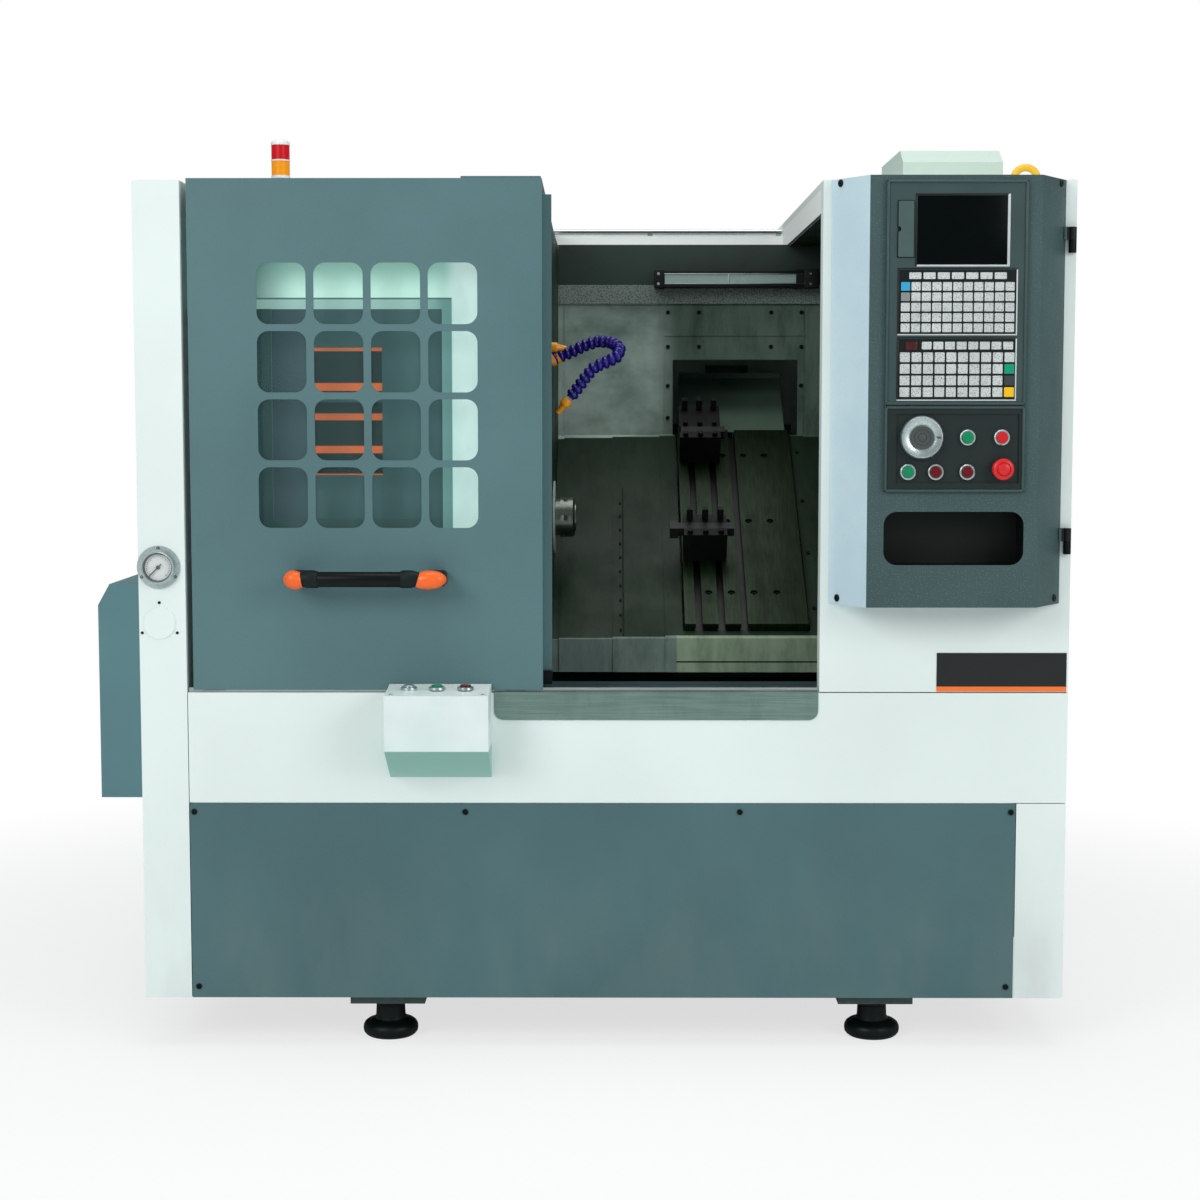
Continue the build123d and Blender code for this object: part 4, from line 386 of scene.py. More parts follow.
bed_casting = casting("bed_casting", rgb(58, 78, 76))
head_casting = casting("headstock_casting", rgb(150, 162, 158))
saddle_casting = casting("saddle_casting", rgb(84, 98, 94))
bright_steel = steel("bright_steel", rgb(206, 210, 210))
nose_steel = steel("spindle_nose_steel", rgb(116, 126, 118), rough=0.36, stain=0.3)
rail_steel = steel("rail_steel", rgb(190, 196, 196), rough=0.2)
stainless = steel("sill_stainless", rgb(134, 160, 152), rough=0.3, stretch=(0.03, 1, 1), stain=0.12)
black_oxide = steel("black_oxide", rgb(9, 13, 11), rough=0.5, stain=0.1, metallic=0.0, sheen=0.15)
blade_steel = steel("tool_steel", rgb(34, 40, 36), rough=0.42, metallic=0.2, sheen=0.2)
silver = steel("satin_silver", rgb(200, 214, 213), rough=0.3, stretch=(1, 1, 1))
print("materials so far", len(bpy.data.materials))

# %% [markdown]
# Moulded parts and rubber: the matt ones have a fine spark-eroded texture, caps have almost none
# and a thin coat that shines. Wear darkens them a little and makes them duller in patches.

# %% Plastic and rubber
def plastic(name, colour, rough=0.38, texture=0.15, coat=0.05, sheen=0.3):
    recipe = Recipe(name)
    wear = recipe.noise(22.0, 4.0)
    return recipe.set(
        Base_Color=recipe.blend(wear, 0.35, 0.75, colour, shade(colour, 0.86)),
        Roughness=recipe.ramp(wear, 0.3, 0.75, rough - 0.05, rough + 0.1),
        Normal=recipe.bump(recipe.noise(700.0, 2.0), texture, 0.0002),
        Coat_Weight=coat,
        Coat_Roughness=0.15,
        Specular_IOR_Level=sheen,
    )


black_plastic = plastic("black_plastic", rgb(8, 13, 15), rough=0.36, coat=0.0, sheen=0.16)
black_rubber = plastic(
    "black_rubber", rgb(8, 16, 15), rough=0.42, texture=0.5, coat=0.0, sheen=0.2
)
orange_plastic = plastic("orange_plastic", rgb(250, 108, 42), rough=0.3)
grip_green = plastic(
    "grip_sleeve_green", rgb(13, 26, 26), rough=0.5, texture=0.5, coat=0.0, sheen=0.2
)
green_cap = plastic("green_cap", rgb(4, 138, 92), rough=0.3, coat=0.1)
red_cap = plastic("red_cap", rgb(214, 28, 34), rough=0.3, coat=0.1)
dark_red_cap = plastic("dark_red_cap", rgb(104, 6, 20), rough=0.3, coat=0.1)
stop_red = plastic("stop_button_red", rgb(214, 40, 42), rough=0.32, coat=0.1)
amber_nozzle = plastic("amber_nozzle", rgb(226, 150, 26), rough=0.3, coat=0.3)
hose_violet = plastic("hose_violet", rgb(26, 14, 112), rough=0.26, coat=0.2)
white_plastic = plastic("white_plastic", rgb(230, 234, 232), rough=0.3)
print("materials so far", len(bpy.data.materials))

# %% [markdown]
# A signal lens has ribs that spread its light; a sine along Z paints their light and shade as
# bands, without a single face, and a faint painted glow stands for the light that a clear colour
# lets through. The door's pane and the gauge's glass are nearly clear: a low alpha shows what is
# behind, and a thin haze keeps them from looking empty.

# %% Lenses and panes
RIB_WAVE = 2200.0


def lens_plastic(name, colour, glow=0.0):
    recipe = Recipe(name)
    # The sine paints the ribs' light and shade as bands; the glow is painted light.
    rib_shading = recipe.math("SINE", recipe.axes()[2] * RIB_WAVE)
    return recipe.set(
        Base_Color=recipe.blend(rib_shading, -1.0, 1.0, shade(colour, 0.8), shade(colour, 1.15)),
        Roughness=recipe.ramp(rib_shading, -1.0, 1.0, 0.34, 0.44),
        Emission_Color=colour,
        Emission_Strength=glow,
        Specular_IOR_Level=0.25,
    )


def clear(name, tint, rough=0.03, alpha=0.22):
    recipe = Recipe(name)
    haze = recipe.noise(6.0, 4.0)
    return recipe.set(
        Base_Color=tint,
        Roughness=recipe.ramp(haze, 0.3, 0.8, rough, rough + 0.06),
        Alpha=recipe.ramp(haze, 0.25, 0.8, alpha, alpha + 0.03),
        Specular_IOR_Level=0.3,
    )


amber_lens = lens_plastic("amber_lens", rgb(234, 146, 0), 0.14)
red_lens = lens_plastic("red_lens", rgb(186, 0, 16), 0.24)
window_clear = clear("window_pane", rgb(96, 140, 140), rough=0.10, alpha=0.07)
gauge_clear = clear("gauge_glass", rgb(225, 235, 235), rough=0.12, alpha=0.06)
print("materials so far", len(bpy.data.materials))

# %% [markdown]
# Some solids carry more than one finish. Where the border between two finishes is a straight
# edge in the machine's own directions, a mask paints it exactly, and no face needs to be cut.
# The pendant case is one: its left cheek faces the light, so a painted highlight makes it a paler
# blue-grey; its hinge side is black, and its tray is black inside.

# %% Pendant case
def pendant_finish():
    recipe = Recipe("pendant_case_paint")
    x, y, z = recipe.axes()
    base = rgb(62, 84, 85)
    grains = recipe.noise(380.0, 2.0)
    cloud = recipe.noise(5.0, 4.0)
    tone = recipe.blend(cloud, 0.3, 0.7, shade(base, 1.08), shade(base, 0.9))
    # Painted highlight: the left cheek, which faces the lamps, is paler.
    pale = recipe.blend(cloud, 0.3, 0.7, rgb(208, 230, 238), rgb(196, 220, 230))
    tone = recipe.mix(before(x, 560, 0.5), tone, pale)
    tone = recipe.mix(recipe.ramp(grains, 0.55, 0.7) * 0.16, tone, rgb(150, 178, 180))
    tone = recipe.mix(beyond(x, 937.5, 0.3), tone, rgb(6, 10, 10))
    tray = inside(x, 588, 853) * inside(z, 937, 1044) * beyond(y, -648, 0.5)
    return recipe.set(
        Base_Color=recipe.mix(tray, tone, rgb(6, 10, 10)),
        Roughness=recipe.ramp(cloud, 0.3, 0.7, 0.42, 0.55),
        Normal=recipe.bump(grains, 0.2, 0.0004),
        Specular_IOR_Level=0.3,
    )


pendant_paint = pendant_finish()
print(pendant_paint.name)

# %% [markdown]
# The beam over the chamber and its rear wall are one dark solid; only the beam's front face,
# where the work lamp hangs, is bare and pale. The mask is the height of that face.

# %% Beam and rear wall
def column_finish():
    recipe = Recipe("beam_and_rear_wall")
    x, y, z = recipe.axes()
    cloud = recipe.noise(4.0, 4.0)
    grains = recipe.noise(300.0, 2.0)
    base = recipe.blend(cloud, 0.3, 0.7, rgb(32, 54, 46), rgb(20, 36, 30))
    pale = recipe.blend(grains, 0.48, 0.6, rgb(128, 142, 136), rgb(82, 96, 90))
    band = inside(z, 1465, 1509) * before(y, 266.85, 0.35)
    return recipe.set(
        Base_Color=recipe.mix(band, base, pale),
        Roughness=recipe.ramp(cloud, 0.3, 0.7, 0.38, 0.55),
        Normal=recipe.bump(grains, 0.3, 0.0005),
    )


column_paint = column_finish()
print(column_paint.name)

# %% [markdown]
# The button box is white, but its slanted underside is painted darker and green: painted shade,
# and a painted green cast of the light that the floor and the apron below it reflect. The lamps of
# this scene don't give that cast.

# %% Button box
def box_finish():
    recipe = Recipe("button_box_white")
    z = recipe.axes()[2]
    cloud = recipe.noise(9.0, 4.0)
    tone = recipe.blend(cloud, 0.3, 0.7, rgb(226, 238, 235), rgb(214, 228, 225))
    return recipe.set(
        # Painted shade and a painted green reflection on the slanted underside.
        Base_Color=recipe.mix(before(z, 594, 0.5), tone, rgb(150, 196, 184)),
        Roughness=recipe.ramp(cloud, 0.3, 0.7, 0.4, 0.52),
        Normal=recipe.bump(recipe.noise(300.0, 2.0), 0.2, 0.0003),
        Specular_IOR_Level=0.3,
    )


box_paint = box_finish()
print(box_paint.name)

# %% [markdown]
# The rear sheet carries the electrical cabinet. Its relays stand in three rows, dark blocks
# between pale terminals. The rows are part of the solid, and a wave along X parts one relay
# from the next.

# %% Rear sheet and its relays
RELAY_WAVE = 273.0
RELAY_ROWS = (639, 939, 1239)
RELAY_HEIGHT = 91


def rear_finish():
    recipe = Recipe("rear_sheet_white")
    x, y, z = recipe.axes()
    cloud = recipe.noise(3.2, 4.0)
    smear = recipe.noise(9.0, 5.0, stretch=(1, 1, 0.35))
    tone = recipe.blend(cloud, 0.3, 0.75, shade(WHITE, 1.02), shade(WHITE, 0.97))
    tone = dusted(recipe, tone, smear, 0.25)
    rows = inside(x, 649.5, 880.5) * inside(y, 569, 629)
    gaps = recipe.math("SINE", x * RELAY_WAVE)
    blocks = recipe.blend(gaps, 0.80, 0.84, rgb(34, 40, 42), rgb(8, 12, 12))
    across = sum(inside(z, low, low + RELAY_HEIGHT) for low in RELAY_ROWS)
    blocks = recipe.mix(across, rgb(176, 184, 178), blocks)
    return recipe.set(
        Base_Color=recipe.mix(rows, tone, blocks),
        Roughness=recipe.ramp(smear, 0.25, 0.8, 0.36, 0.54),
        Normal=recipe.bump(recipe.noise(260.0, 2.0), 0.25, 0.0004),
        Coat_Weight=0.08,
        Coat_Roughness=0.25,
        Specular_IOR_Level=0.3,
    )


rear_paint = rear_finish()
print(rear_paint.name)

# %% [markdown]
# The cabinet's door is the same white sheet. Its hinge knuckles and its two locks are black and
# stand proud of the sheet, so a mask on depth finds them; each lock has a bright key slot.

# %% Cabinet door
LOCK_X, LOCK_HEIGHTS = 615, (620, 1250)


def cabinet_finish():
    recipe = Recipe("cabinet_door_white")
    x, y, z = recipe.axes()
    cloud = recipe.noise(4.0, 4.0)
    tone = recipe.blend(cloud, 0.3, 0.7, rgb(226, 238, 234), rgb(212, 226, 222))
    raised = recipe.math("MAXIMUM", beyond(y, 695.25, 0.15), beyond(x, 944.4, 0.2))
    tone = recipe.mix(raised, tone, rgb(12, 18, 18))
    heights = sum(inside(z, height - 9, height + 9) for height in LOCK_HEIGHTS)
    slots = inside(x, LOCK_X - 1.5, LOCK_X + 1.5) * heights * (y > 698 * MM)
    return recipe.set(
        Base_Color=recipe.mix(slots, tone, rgb(170, 180, 178)),
        Roughness=recipe.ramp(cloud, 0.3, 0.7, 0.38, 0.52),
        Normal=recipe.bump(recipe.noise(260.0, 2.0), 0.25, 0.0004),
        Specular_IOR_Level=0.3,
    )


cabinet_paint = cabinet_finish()
print(cabinet_paint.name)

# %% [markdown]
# Behind the door window stands a pale sheet with a darker hatch in a folded rim. A painted
# shadow of the fold lies to its left and below, and painted shade darkens the wall's far left and
# its right edge. The window takes much of the lamps' light away, so the pale parts glow a little:
# a painted light, as much as the room's light that they would get.

# %% Wall with the hatch
def hatch_wall():
    recipe = Recipe("wall_with_hatch_painted_light")
    x, y, z = recipe.axes()
    smear = recipe.noise(7.0, 5.0, stretch=(1.6, 1, 0.6), roughness=0.62)
    hatch = inside(x, -620, -217) * inside(z, 1000, 1438)
    core = inside(x, -562, -236) * inside(z, 1019, 1419)
    pale = recipe.blend(smear, 0.35, 0.7, rgb(214, 240, 233), rgb(196, 226, 220))
    # The upper wall: lighter low down, darker towards the top, and darkened with painted shade at
    # its far left.
    high = recipe.mix(beyond(z, 1480, 50), rgb(190, 230, 216), rgb(138, 190, 174))
    high = recipe.mix(before(x, -570, 70), high, rgb(66, 106, 104))
    tone = recipe.mix(before(x, -220, 15), pale, high)
    rim = recipe.mix(beyond(x, -260, 40), rgb(142, 180, 172), rgb(96, 138, 134))
    tone = recipe.mix(hatch, tone, rim)
    panel = recipe.blend(smear, 0.3, 0.72, rgb(70, 102, 104), rgb(54, 82, 86))
    panel = recipe.mix(before(x, -495, 25) * 0.8, panel, rgb(58, 72, 84))
    tone = recipe.mix(core, tone, panel)
    # A painted shadow of the fold, to the hatch's left and below it.
    beside = (x < -562 * MM) * (z < 1419.5 * MM)
    below = (x > -563 * MM) * (x < -236 * MM) * (z < 1019.5 * MM)
    shadow = beside + below
    tone = recipe.mix(shadow, tone, rgb(58, 84, 84))
    # A painted shade line along the rim's top edge.
    rim_top_shade_line = inside(z, 1437.5, 1441) * (x < -217 * MM)
    tone = recipe.mix(rim_top_shade_line, tone, rgb(74, 106, 100))
    # Painted shade on the wall's right edge, which stands behind the door's flange.
    edge = beyond(x, -65, 5)
    tone = recipe.mix(edge, tone, rgb(58, 78, 72))
    # The glow is painted light for the pale parts; the hatch panel and the painted shade get almost
    # none.
    dark = recipe.math("MAXIMUM", recipe.math("MAXIMUM", core, shadow), edge)
    return recipe.set(
        Base_Color=tone,
        Roughness=recipe.ramp(smear, 0.3, 0.7, 0.4, 0.55),
        Normal=recipe.bump(smear, 0.1, 0.001),
        Specular_IOR_Level=0.3,
        Emission_Color=recipe.mix(dark, tone, rgb(20, 30, 30)),
        Emission_Strength=0.55,
    )


hatch_paint = hatch_wall()
print(hatch_paint.name)

# %% [markdown]
# The tool plate slides up a slope of 35 degrees that passes under the spindle's axis. Its lower
# part is ground steel with oil stains, with painted shade down in its T-slots; the folded way
# cover above it is painted sheet. Both borders follow the slope, so the masks read the slope's own
# directions: s runs up the slope, n stands square to it.

# %% Slope and tool plate
SPINDLE_Y, SPINDLE_Z = -155.0, 1006.0
PLATE_DROP = 90.0
SLOPE = radians(35)
SLOPE_Y = SPINDLE_Y + PLATE_DROP * sin(SLOPE)
SLOPE_Z = SPINDLE_Z - PLATE_DROP * cos(SLOPE)
SLOPE_UP = (0, -sin(SLOPE), cos(SLOPE))


def on_slope(x, s, n):
    """A point on the slope, in millimetres."""
    return (x, SLOPE_Y + s * cos(SLOPE) - n * sin(SLOPE), SLOPE_Z + s * sin(SLOPE) + n * cos(SLOPE))


def tool_plate_finish():
    recipe = Recipe("tool_plate_and_cover")
    x, y, z = recipe.axes()
    back, rise = y - SLOPE_Y * MM, z - SLOPE_Z * MM
    s = back * cos(SLOPE) + rise * sin(SLOPE)
    n = rise * cos(SLOPE) - back * sin(SLOPE)
    lines = recipe.noise(320.0, 3.0, stretch=(1.0, 0.06, 0.06))
    blot = recipe.noise(12.0, 6.0, stretch=(1.6, 0.6, 0.6), roughness=0.68)
    film = recipe.noise(3.0, 3.0)
    ground = recipe.blend(lines, 0.35, 0.65, rgb(28, 46, 25), rgb(19, 33, 16))
    ground = recipe.mix(recipe.ramp(blot, 0.44, 0.68) * 0.6, ground, rgb(14, 22, 10))
    sheet = recipe.blend(film, 0.3, 0.7, rgb(104, 128, 112), rgb(70, 92, 80))
    cover = beyond(s, 437, 0.5)
    # Painted shade on the floors of the T-slots, where the steel is also kept dull.
    slot_shade = before(n, -2.5, 1) * inside(x, 257.5, 366.5) * (1 - cover)
    ground = recipe.mix(slot_shade, ground, rgb(7, 10, 7))
    return recipe.set(
        Base_Color=recipe.mix(cover, ground, sheet),
        Metallic=(1 - recipe.math("MAXIMUM", cover, slot_shade)) * 0.5,
        Specular_IOR_Level=0.2,
        Roughness=recipe.ramp(blot, 0.3, 0.75, 0.36, 0.5),
        Normal=recipe.bump(lines, 0.08, 0.0003),
    )


plate_steel = tool_plate_finish()
print("slope starts at", round(SLOPE_Y, 1), round(SLOPE_Z, 1))

# %% [markdown]
# The control unit's front is one moulding with two fields of keys. The solids already raise each
# key by a millimetre, so a mask on depth finds the key tops, and masks on X and Z tell the few
# coloured keys from the rest. The legends are small generic dashes: they say nothing.

# %% Keys
UNIT_FRONT = -656.0
KEY_HALF = (9.5, 9.2)
FIELD_X = (613.5, 828.5)
KEY_FIELDS = {
    "upper": {"middle": (721.0, 1415.0), "pitch": (19.1, 18.8), "keys": (11, 5)},
    "lower": {"middle": (721.5, 1292.0), "pitch": (21.3, 21.2), "keys": (10, 4)},
}
COLOURED_KEYS = [
    ("upper", 0, 0, rgb(56, 160, 206)), ("upper", 0, 1, rgb(132, 138, 138)),
    ("lower", 9, 1, rgb(10, 150, 112)), ("lower", 9, 2, rgb(58, 64, 66)),
    ("lower", 9, 3, rgb(240, 190, 20)),
]


def key_middle(field, column, row):
    """The middle of a key, counted from the top left."""
    keys = KEY_FIELDS[field]
    x = keys["middle"][0] + (column - (keys["keys"][0] - 1) / 2) * keys["pitch"][0]
    z = keys["middle"][1] + ((keys["keys"][1] - 1) / 2 - row) * keys["pitch"][1]
    return x, z


def control_finish():
    recipe = Recipe("control_unit_front")
    x, y, z = recipe.axes()
    cloud = recipe.noise(9.0, 4.0)
    tone = recipe.blend(cloud, 0.3, 0.7, rgb(60, 80, 79), rgb(52, 71, 70))
    for low, high in ((1366.5, 1482.5), (1247.5, 1357.0)):
        tone = recipe.mix(inside(x, *FIELD_X) * inside(z, low, high), tone, rgb(10, 18, 18))
    beside_screen = inside(x, 609.4, 640.6) * inside(z, 1504.4, 1608.6)
    tone = recipe.mix(beside_screen, tone, rgb(12, 20, 20))
    cap = recipe.blend(cloud, 0.35, 0.65, rgb(206, 212, 210), rgb(190, 197, 196))
    dashes = recipe.noise(520.0, 1.0, stretch=(1.0, 1.0, 1.3))
    cap = recipe.mix(recipe.ramp(dashes, 0.60, 0.64) * 0.75, cap, rgb(52, 58, 60))
    for field, column, row, colour in COLOURED_KEYS:
        key_x, key_z = key_middle(field, column, row)
        across = inside(x, key_x - KEY_HALF[0], key_x + KEY_HALF[0])
        cap = recipe.mix(across * inside(z, key_z - KEY_HALF[1], key_z + KEY_HALF[1]), cap, colour)
    return recipe.set(
        Base_Color=recipe.mix(before(y, UNIT_FRONT - 0.65, 0.15), tone, cap),
        Roughness=recipe.ramp(cloud, 0.3, 0.7, 0.34, 0.48),
        Normal=recipe.bump(recipe.noise(420.0, 2.0), 0.15, 0.0003),
        Specular_IOR_Level=0.3,
    )


control_front = control_finish()
print("coloured keys", len(COLOURED_KEYS))

# %% [markdown]
# Three bare black plates: one on the right column with an orange bar along its lower edge, and
# two on the hatch with orange bars across. The bars are plain colour between pairs of heights.

# %% Bare plates
HATCH_BARS = [
    (1339.5, 1347), (1264, 1279), (1249, 1253.5), (1208, 1221), (1145, 1159), (1102, 1106),
]


def plates_finish():
    recipe = Recipe("black_plates_with_orange_edge")
    x, y, z = recipe.axes()
    cloud = recipe.noise(14.0, 4.0)
    tone = recipe.blend(cloud, 0.3, 0.7, rgb(15, 20, 20), rgb(10, 14, 14))
    column_bar = inside(z, 690, 702.5) * beyond(x, 625, 25)
    hatch_bars = sum(inside(z, low, high) for low, high in HATCH_BARS) * (x < 0.0)
    return recipe.set(
        Base_Color=recipe.mix(column_bar + hatch_bars, tone, rgb(246, 118, 42)),
        Roughness=recipe.ramp(cloud, 0.3, 0.7, 0.3, 0.42),
    )


plate_black = plates_finish()
print("bars on the hatch", len(HATCH_BARS))

# %% [markdown]
# The roof and the hood over the right column are one white solid. The hood stands close under
# the top lamp, where white paint would burn out, so painted shade makes it darker.

# %% Roof and hood
def hood_and_roof():
    recipe = Recipe("roof_and_hood_white_painted_shade")
    x, y, z = recipe.axes()
    cloud = recipe.noise(4.0, 4.0)
    # Painted shade: the hood under the top lamp is darker.
    hood = beyond(x, 688, 2) * beyond(z, 1657.5, 2.5)
    tone = recipe.mix(hood, rgb(226, 238, 232), rgb(192, 210, 200))
    tone = recipe.mix(before(z, 1642, 2), tone, rgb(250, 255, 252))
    return recipe.set(
        Base_Color=recipe.mix(recipe.ramp(cloud, 0.3, 0.7) * 0.06, tone, rgb(160, 176, 170)),
        Roughness=recipe.ramp(cloud, 0.3, 0.7, 0.4, 0.52),
        Normal=recipe.bump(recipe.noise(260.0, 2.0), 0.25, 0.0004),
        Specular_IOR_Level=0.3,
    )


roof_paint = hood_and_roof()
print("materials so far", len(bpy.data.materials))

# %% [markdown]
# Every solid gets its finish by name. The ones that the camera never sees are finished as
# carefully as the rest, because the model is looked at from all sides.

# %% Finishes of the solids
FINISHES = {
    "bed": bed_casting, "leveling_feet": black_rubber, "left_enclosure": white_paint,
    "right_side_panel": white_paint, "rear_panel": rear_paint, "cabinet_door": cabinet_paint,
    "apron": white_paint, "lower_front_panel": lower_grey, "panel_screws": black_plastic,
    "right_column": white_paint, "roof_panels": roof_paint, "door_rails": rail_steel,
    "headstock_front_panel": hatch_paint, "blank_plates": plate_black, "sill": stainless,
    "button_box": box_paint, "box_button_green": green_cap, "box_button_red": dark_red_cap,
    "gauge_case": silver, "gauge_needle": black_plastic, "motor_cover": pod_paint,
    "eye_bolt": yellow_paint, "tower_light": white_plastic, "work_lamp": black_paint,
    "chamber_guards": wall_guard, "chamber_rear_wall": column_paint, "chip_tray": tank_paint,
    "headstock": head_casting, "spindle": nose_steel, "motor_pulley": bright_steel,
    "spindle_motor": black_paint, "drive_belt": black_rubber, "z_drive": rail_steel,
    "z_ball_screw": rail_steel, "saddle": saddle_casting, "saddle_cover": guard_sheet,
    "middle_covers": guard_sheet, "x_drive": nose_steel, "x_ball_screw": rail_steel,
    "tool_plate": plate_steel, "tool_blocks": black_oxide, "tools": blade_steel,
    "door": door_grey, "door_window": window_clear, "door_handle": black_plastic,
    "door_shoes": black_plastic, "pendant_case": pendant_paint, "pendant_hinges": black_plastic,
    "control_unit": control_front,
    "usb_cover": plastic("flap_plastic", rgb(70, 92, 90), rough=0.45),
    "operator_plate": plastic("operator_plate_paint", rgb(26, 38, 38), rough=0.45),
    "button_start": green_cap, "button_hold": red_cap, "button_power_on": green_cap,
    "button_power_off": dark_red_cap, "button_reset": dark_red_cap, "emergency_stop": stop_red,
    "handwheel": silver, "coolant_tank": tank_paint, "coolant_hose": hose_violet,
}
for node_name, solid in frame["nodes"].items():
    solid.data.materials.clear()
    solid.data.materials.append(FINISHES[node_name])
print("finished", len(frame["nodes"]), "solids")

# %% [markdown]
# Hand tools for the new pieces. Blender's operators act on all that is selected, so each tool
# first selects its own piece alone. A finished piece has its place in its mesh and its object at
# the origin, because the closing export puts every object there.

# %% Settling and placing
def only(*pieces):
    """Select these pieces and nothing else."""
    bpy.ops.object.select_all(action="DESELECT")
    for piece in pieces:
        piece.select_set(True)
    if pieces:
        bpy.context.view_layer.objects.active = pieces[0]


def settle(piece, name, finish, smooth=35):
    """Put the place into the mesh, smooth the round faces and give the finish."""
    bpy.ops.object.transform_apply(location=True, rotation=True, scale=True)
    bpy.ops.object.shade_smooth_by_angle(angle=radians(smooth))
    piece.name = name
    piece.data.materials.clear()
    piece.data.materials.append(finish)
    return piece


def placed(piece, at, turn=(0, 0, 0)):
    """Turn a piece about the origin, move it, and put both into its mesh."""
    only(piece)
    piece.location = Vector(at) * MM
    piece.rotation_euler = turn
    bpy.ops.object.transform_apply(location=True, rotation=True, scale=True)
    return piece


print("settling ready")

# %% [markdown]
# What repeats is modelled once and copied, each copy with its own mesh. Copies that only shift
# start from the first piece in its place; copies that also turn start from a model at the origin.
# Joined pieces are one object, which rides on one body of the machine.

# %% Copying and joining
def twin_of(piece):
    """A copy of a piece, with its own mesh."""
    twin = piece.copy()
    twin.data = piece.data.copy()
    bpy.context.scene.collection.objects.link(twin)
    return twin


def repeated(piece, points):
    """A piece that stands at the first point, and copies of it at the other points."""
    first = Vector(points[0])
    return [piece] + [placed(twin_of(piece), Vector(point) - first) for point in points[1:]]


def spread(model, places):
    """Copies of a model from the origin, each turned and moved. The model itself goes."""
    made = [placed(twin_of(model), at, turn) for at, turn in places]
    only(model)
    bpy.ops.object.delete()
    return made


def joined(pieces, name):
    """Join pieces into one object."""
    only(*pieces)
    bpy.ops.object.join()
    whole = bpy.context.object
    whole.name = name
    return whole


def carried(piece, body):
    """The piece moves with a body."""
    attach(piece, body)
    return piece


print("copying ready")

# %% [markdown]
# The two shaping tools. A turned piece follows a list of steps, as a lathe's drawing does, and
# faces any direction. Where a stem passes through, the piece is bored, so that nothing touches
# when the stem moves. A block is given by two corners, and its bevel rounds all its edges.

# %% Turned pieces and blocks
def turned(name, steps, at, facing, finish, sides=40, bored=False):
    """Extrude a disc through (height, radius) steps, in millimetres, along a direction.

    A bored piece loses both end discs, and its last circle is bridged to its first one.
    """
    only()
    bpy.ops.mesh.primitive_circle_add(
        vertices=sides, radius=steps[0][1] * MM, fill_type="NGON", location=(0, 0, 0)
    )
    piece = bpy.context.object
    bpy.ops.object.mode_set(mode="EDIT")
    bpy.ops.mesh.select_all(action="SELECT")
    for (height, radius), (next_height, next_radius) in zip(steps, steps[1:]):
        rise = (next_height - height) * MM
        bpy.ops.mesh.extrude_region_move(TRANSFORM_OT_translate={"value": (0, 0, rise)})
        growth = next_radius / radius
        bpy.ops.transform.resize(value=(growth, growth, 1))
    if bored:
        bpy.ops.mesh.select_face_by_sides(number=sides, type="EQUAL")
        bpy.ops.mesh.delete(type="FACE")
        bpy.ops.mesh.select_non_manifold()
        bpy.ops.mesh.bridge_edge_loops()
    bpy.ops.mesh.select_all(action="SELECT")
    bpy.ops.mesh.normals_make_consistent(inside=False)
    bpy.ops.object.mode_set(mode="OBJECT")
    way = Vector(facing).normalized()
    piece.rotation_euler = way.to_track_quat("Z", "Y").to_euler()
    piece.location = Vector(at) * MM + way * steps[0][0] * MM
    return settle(piece, name, finish)


def rounded_block(name, low, high, radius, finish, segments=3):
    """A block between two corners, in millimetres, with rounded edges."""
    only()
    middle = (Vector(low) + Vector(high)) * 0.5 * MM
    size = (Vector(high) - Vector(low)) * MM
    bpy.ops.mesh.primitive_cube_add(size=1, location=middle, scale=size)
    piece = bpy.context.object
    bpy.ops.object.transform_apply(location=True, rotation=True, scale=True)
    bpy.ops.object.mode_set(mode="EDIT")
    bpy.ops.mesh.select_all(action="SELECT")
    bpy.ops.mesh.bevel(offset=radius * MM, segments=segments, affect="EDGES", clamp_overlap=True)
    bpy.ops.object.mode_set(mode="OBJECT")
    return settle(piece, name, finish)


print("shaping helpers ready")

# %% [markdown]
# Socket-head screws hold most sheets. A real screw head has a chamfered rim and a recess for the
# key, so the head is turned with both. One screw of a kind is modelled and copied to the other
# places. The first ones hold the lower grey panel and stand for the record's own screws.

# %% Screw heads
def cap_screw(name, at, radius, facing=FRONT, finish=black_plastic, height=3.2):
    """A low round head with a chamfered rim and a key recess."""
    steps = [
        (0.0, radius), (height * 0.7, radius), (height, radius * 0.86), (height, radius * 0.46),
        (height * 0.45, radius * 0.42),
    ]
    return turned(name, steps, at, facing, finish, sides=24)


def screws(name, points, radius, facing=FRONT, finish=black_plastic, height=3.2):
    """One screw at the first point, and copies of it at the others."""
    return repeated(cap_screw(name, points[0], radius, facing, finish, height), points)


def around(centre, radius, degrees):
    """Points on an upright circle round a centre, at angles from the operator's right."""
    x, y, z = centre
    return [
        (x + radius * cos(radians(turn)), y, z + radius * sin(radians(turn))) for turn in degrees
    ]


PANEL_Y = -555
panel_points = [(-712, 460), (-192, 460), (334, 460), (853, 460), (-708, 119), (848, 119)]
panel_heads = screws("lower_panel_screws", [(x, PANEL_Y, z) for x, z in panel_points], 5.6)
lower_screws = joined(panel_heads, "lower_panel_screws")
carried(lower_screws, "machine")
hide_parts("panel_screws")
print("lower panel screws", len(panel_heads))

# %% [markdown]
# Four black screws sit on the two slanted cheeks of the pendant. A cheek runs 94 mm back over
# about 61 mm of width, so each screw's depth and direction are worked out from its X.

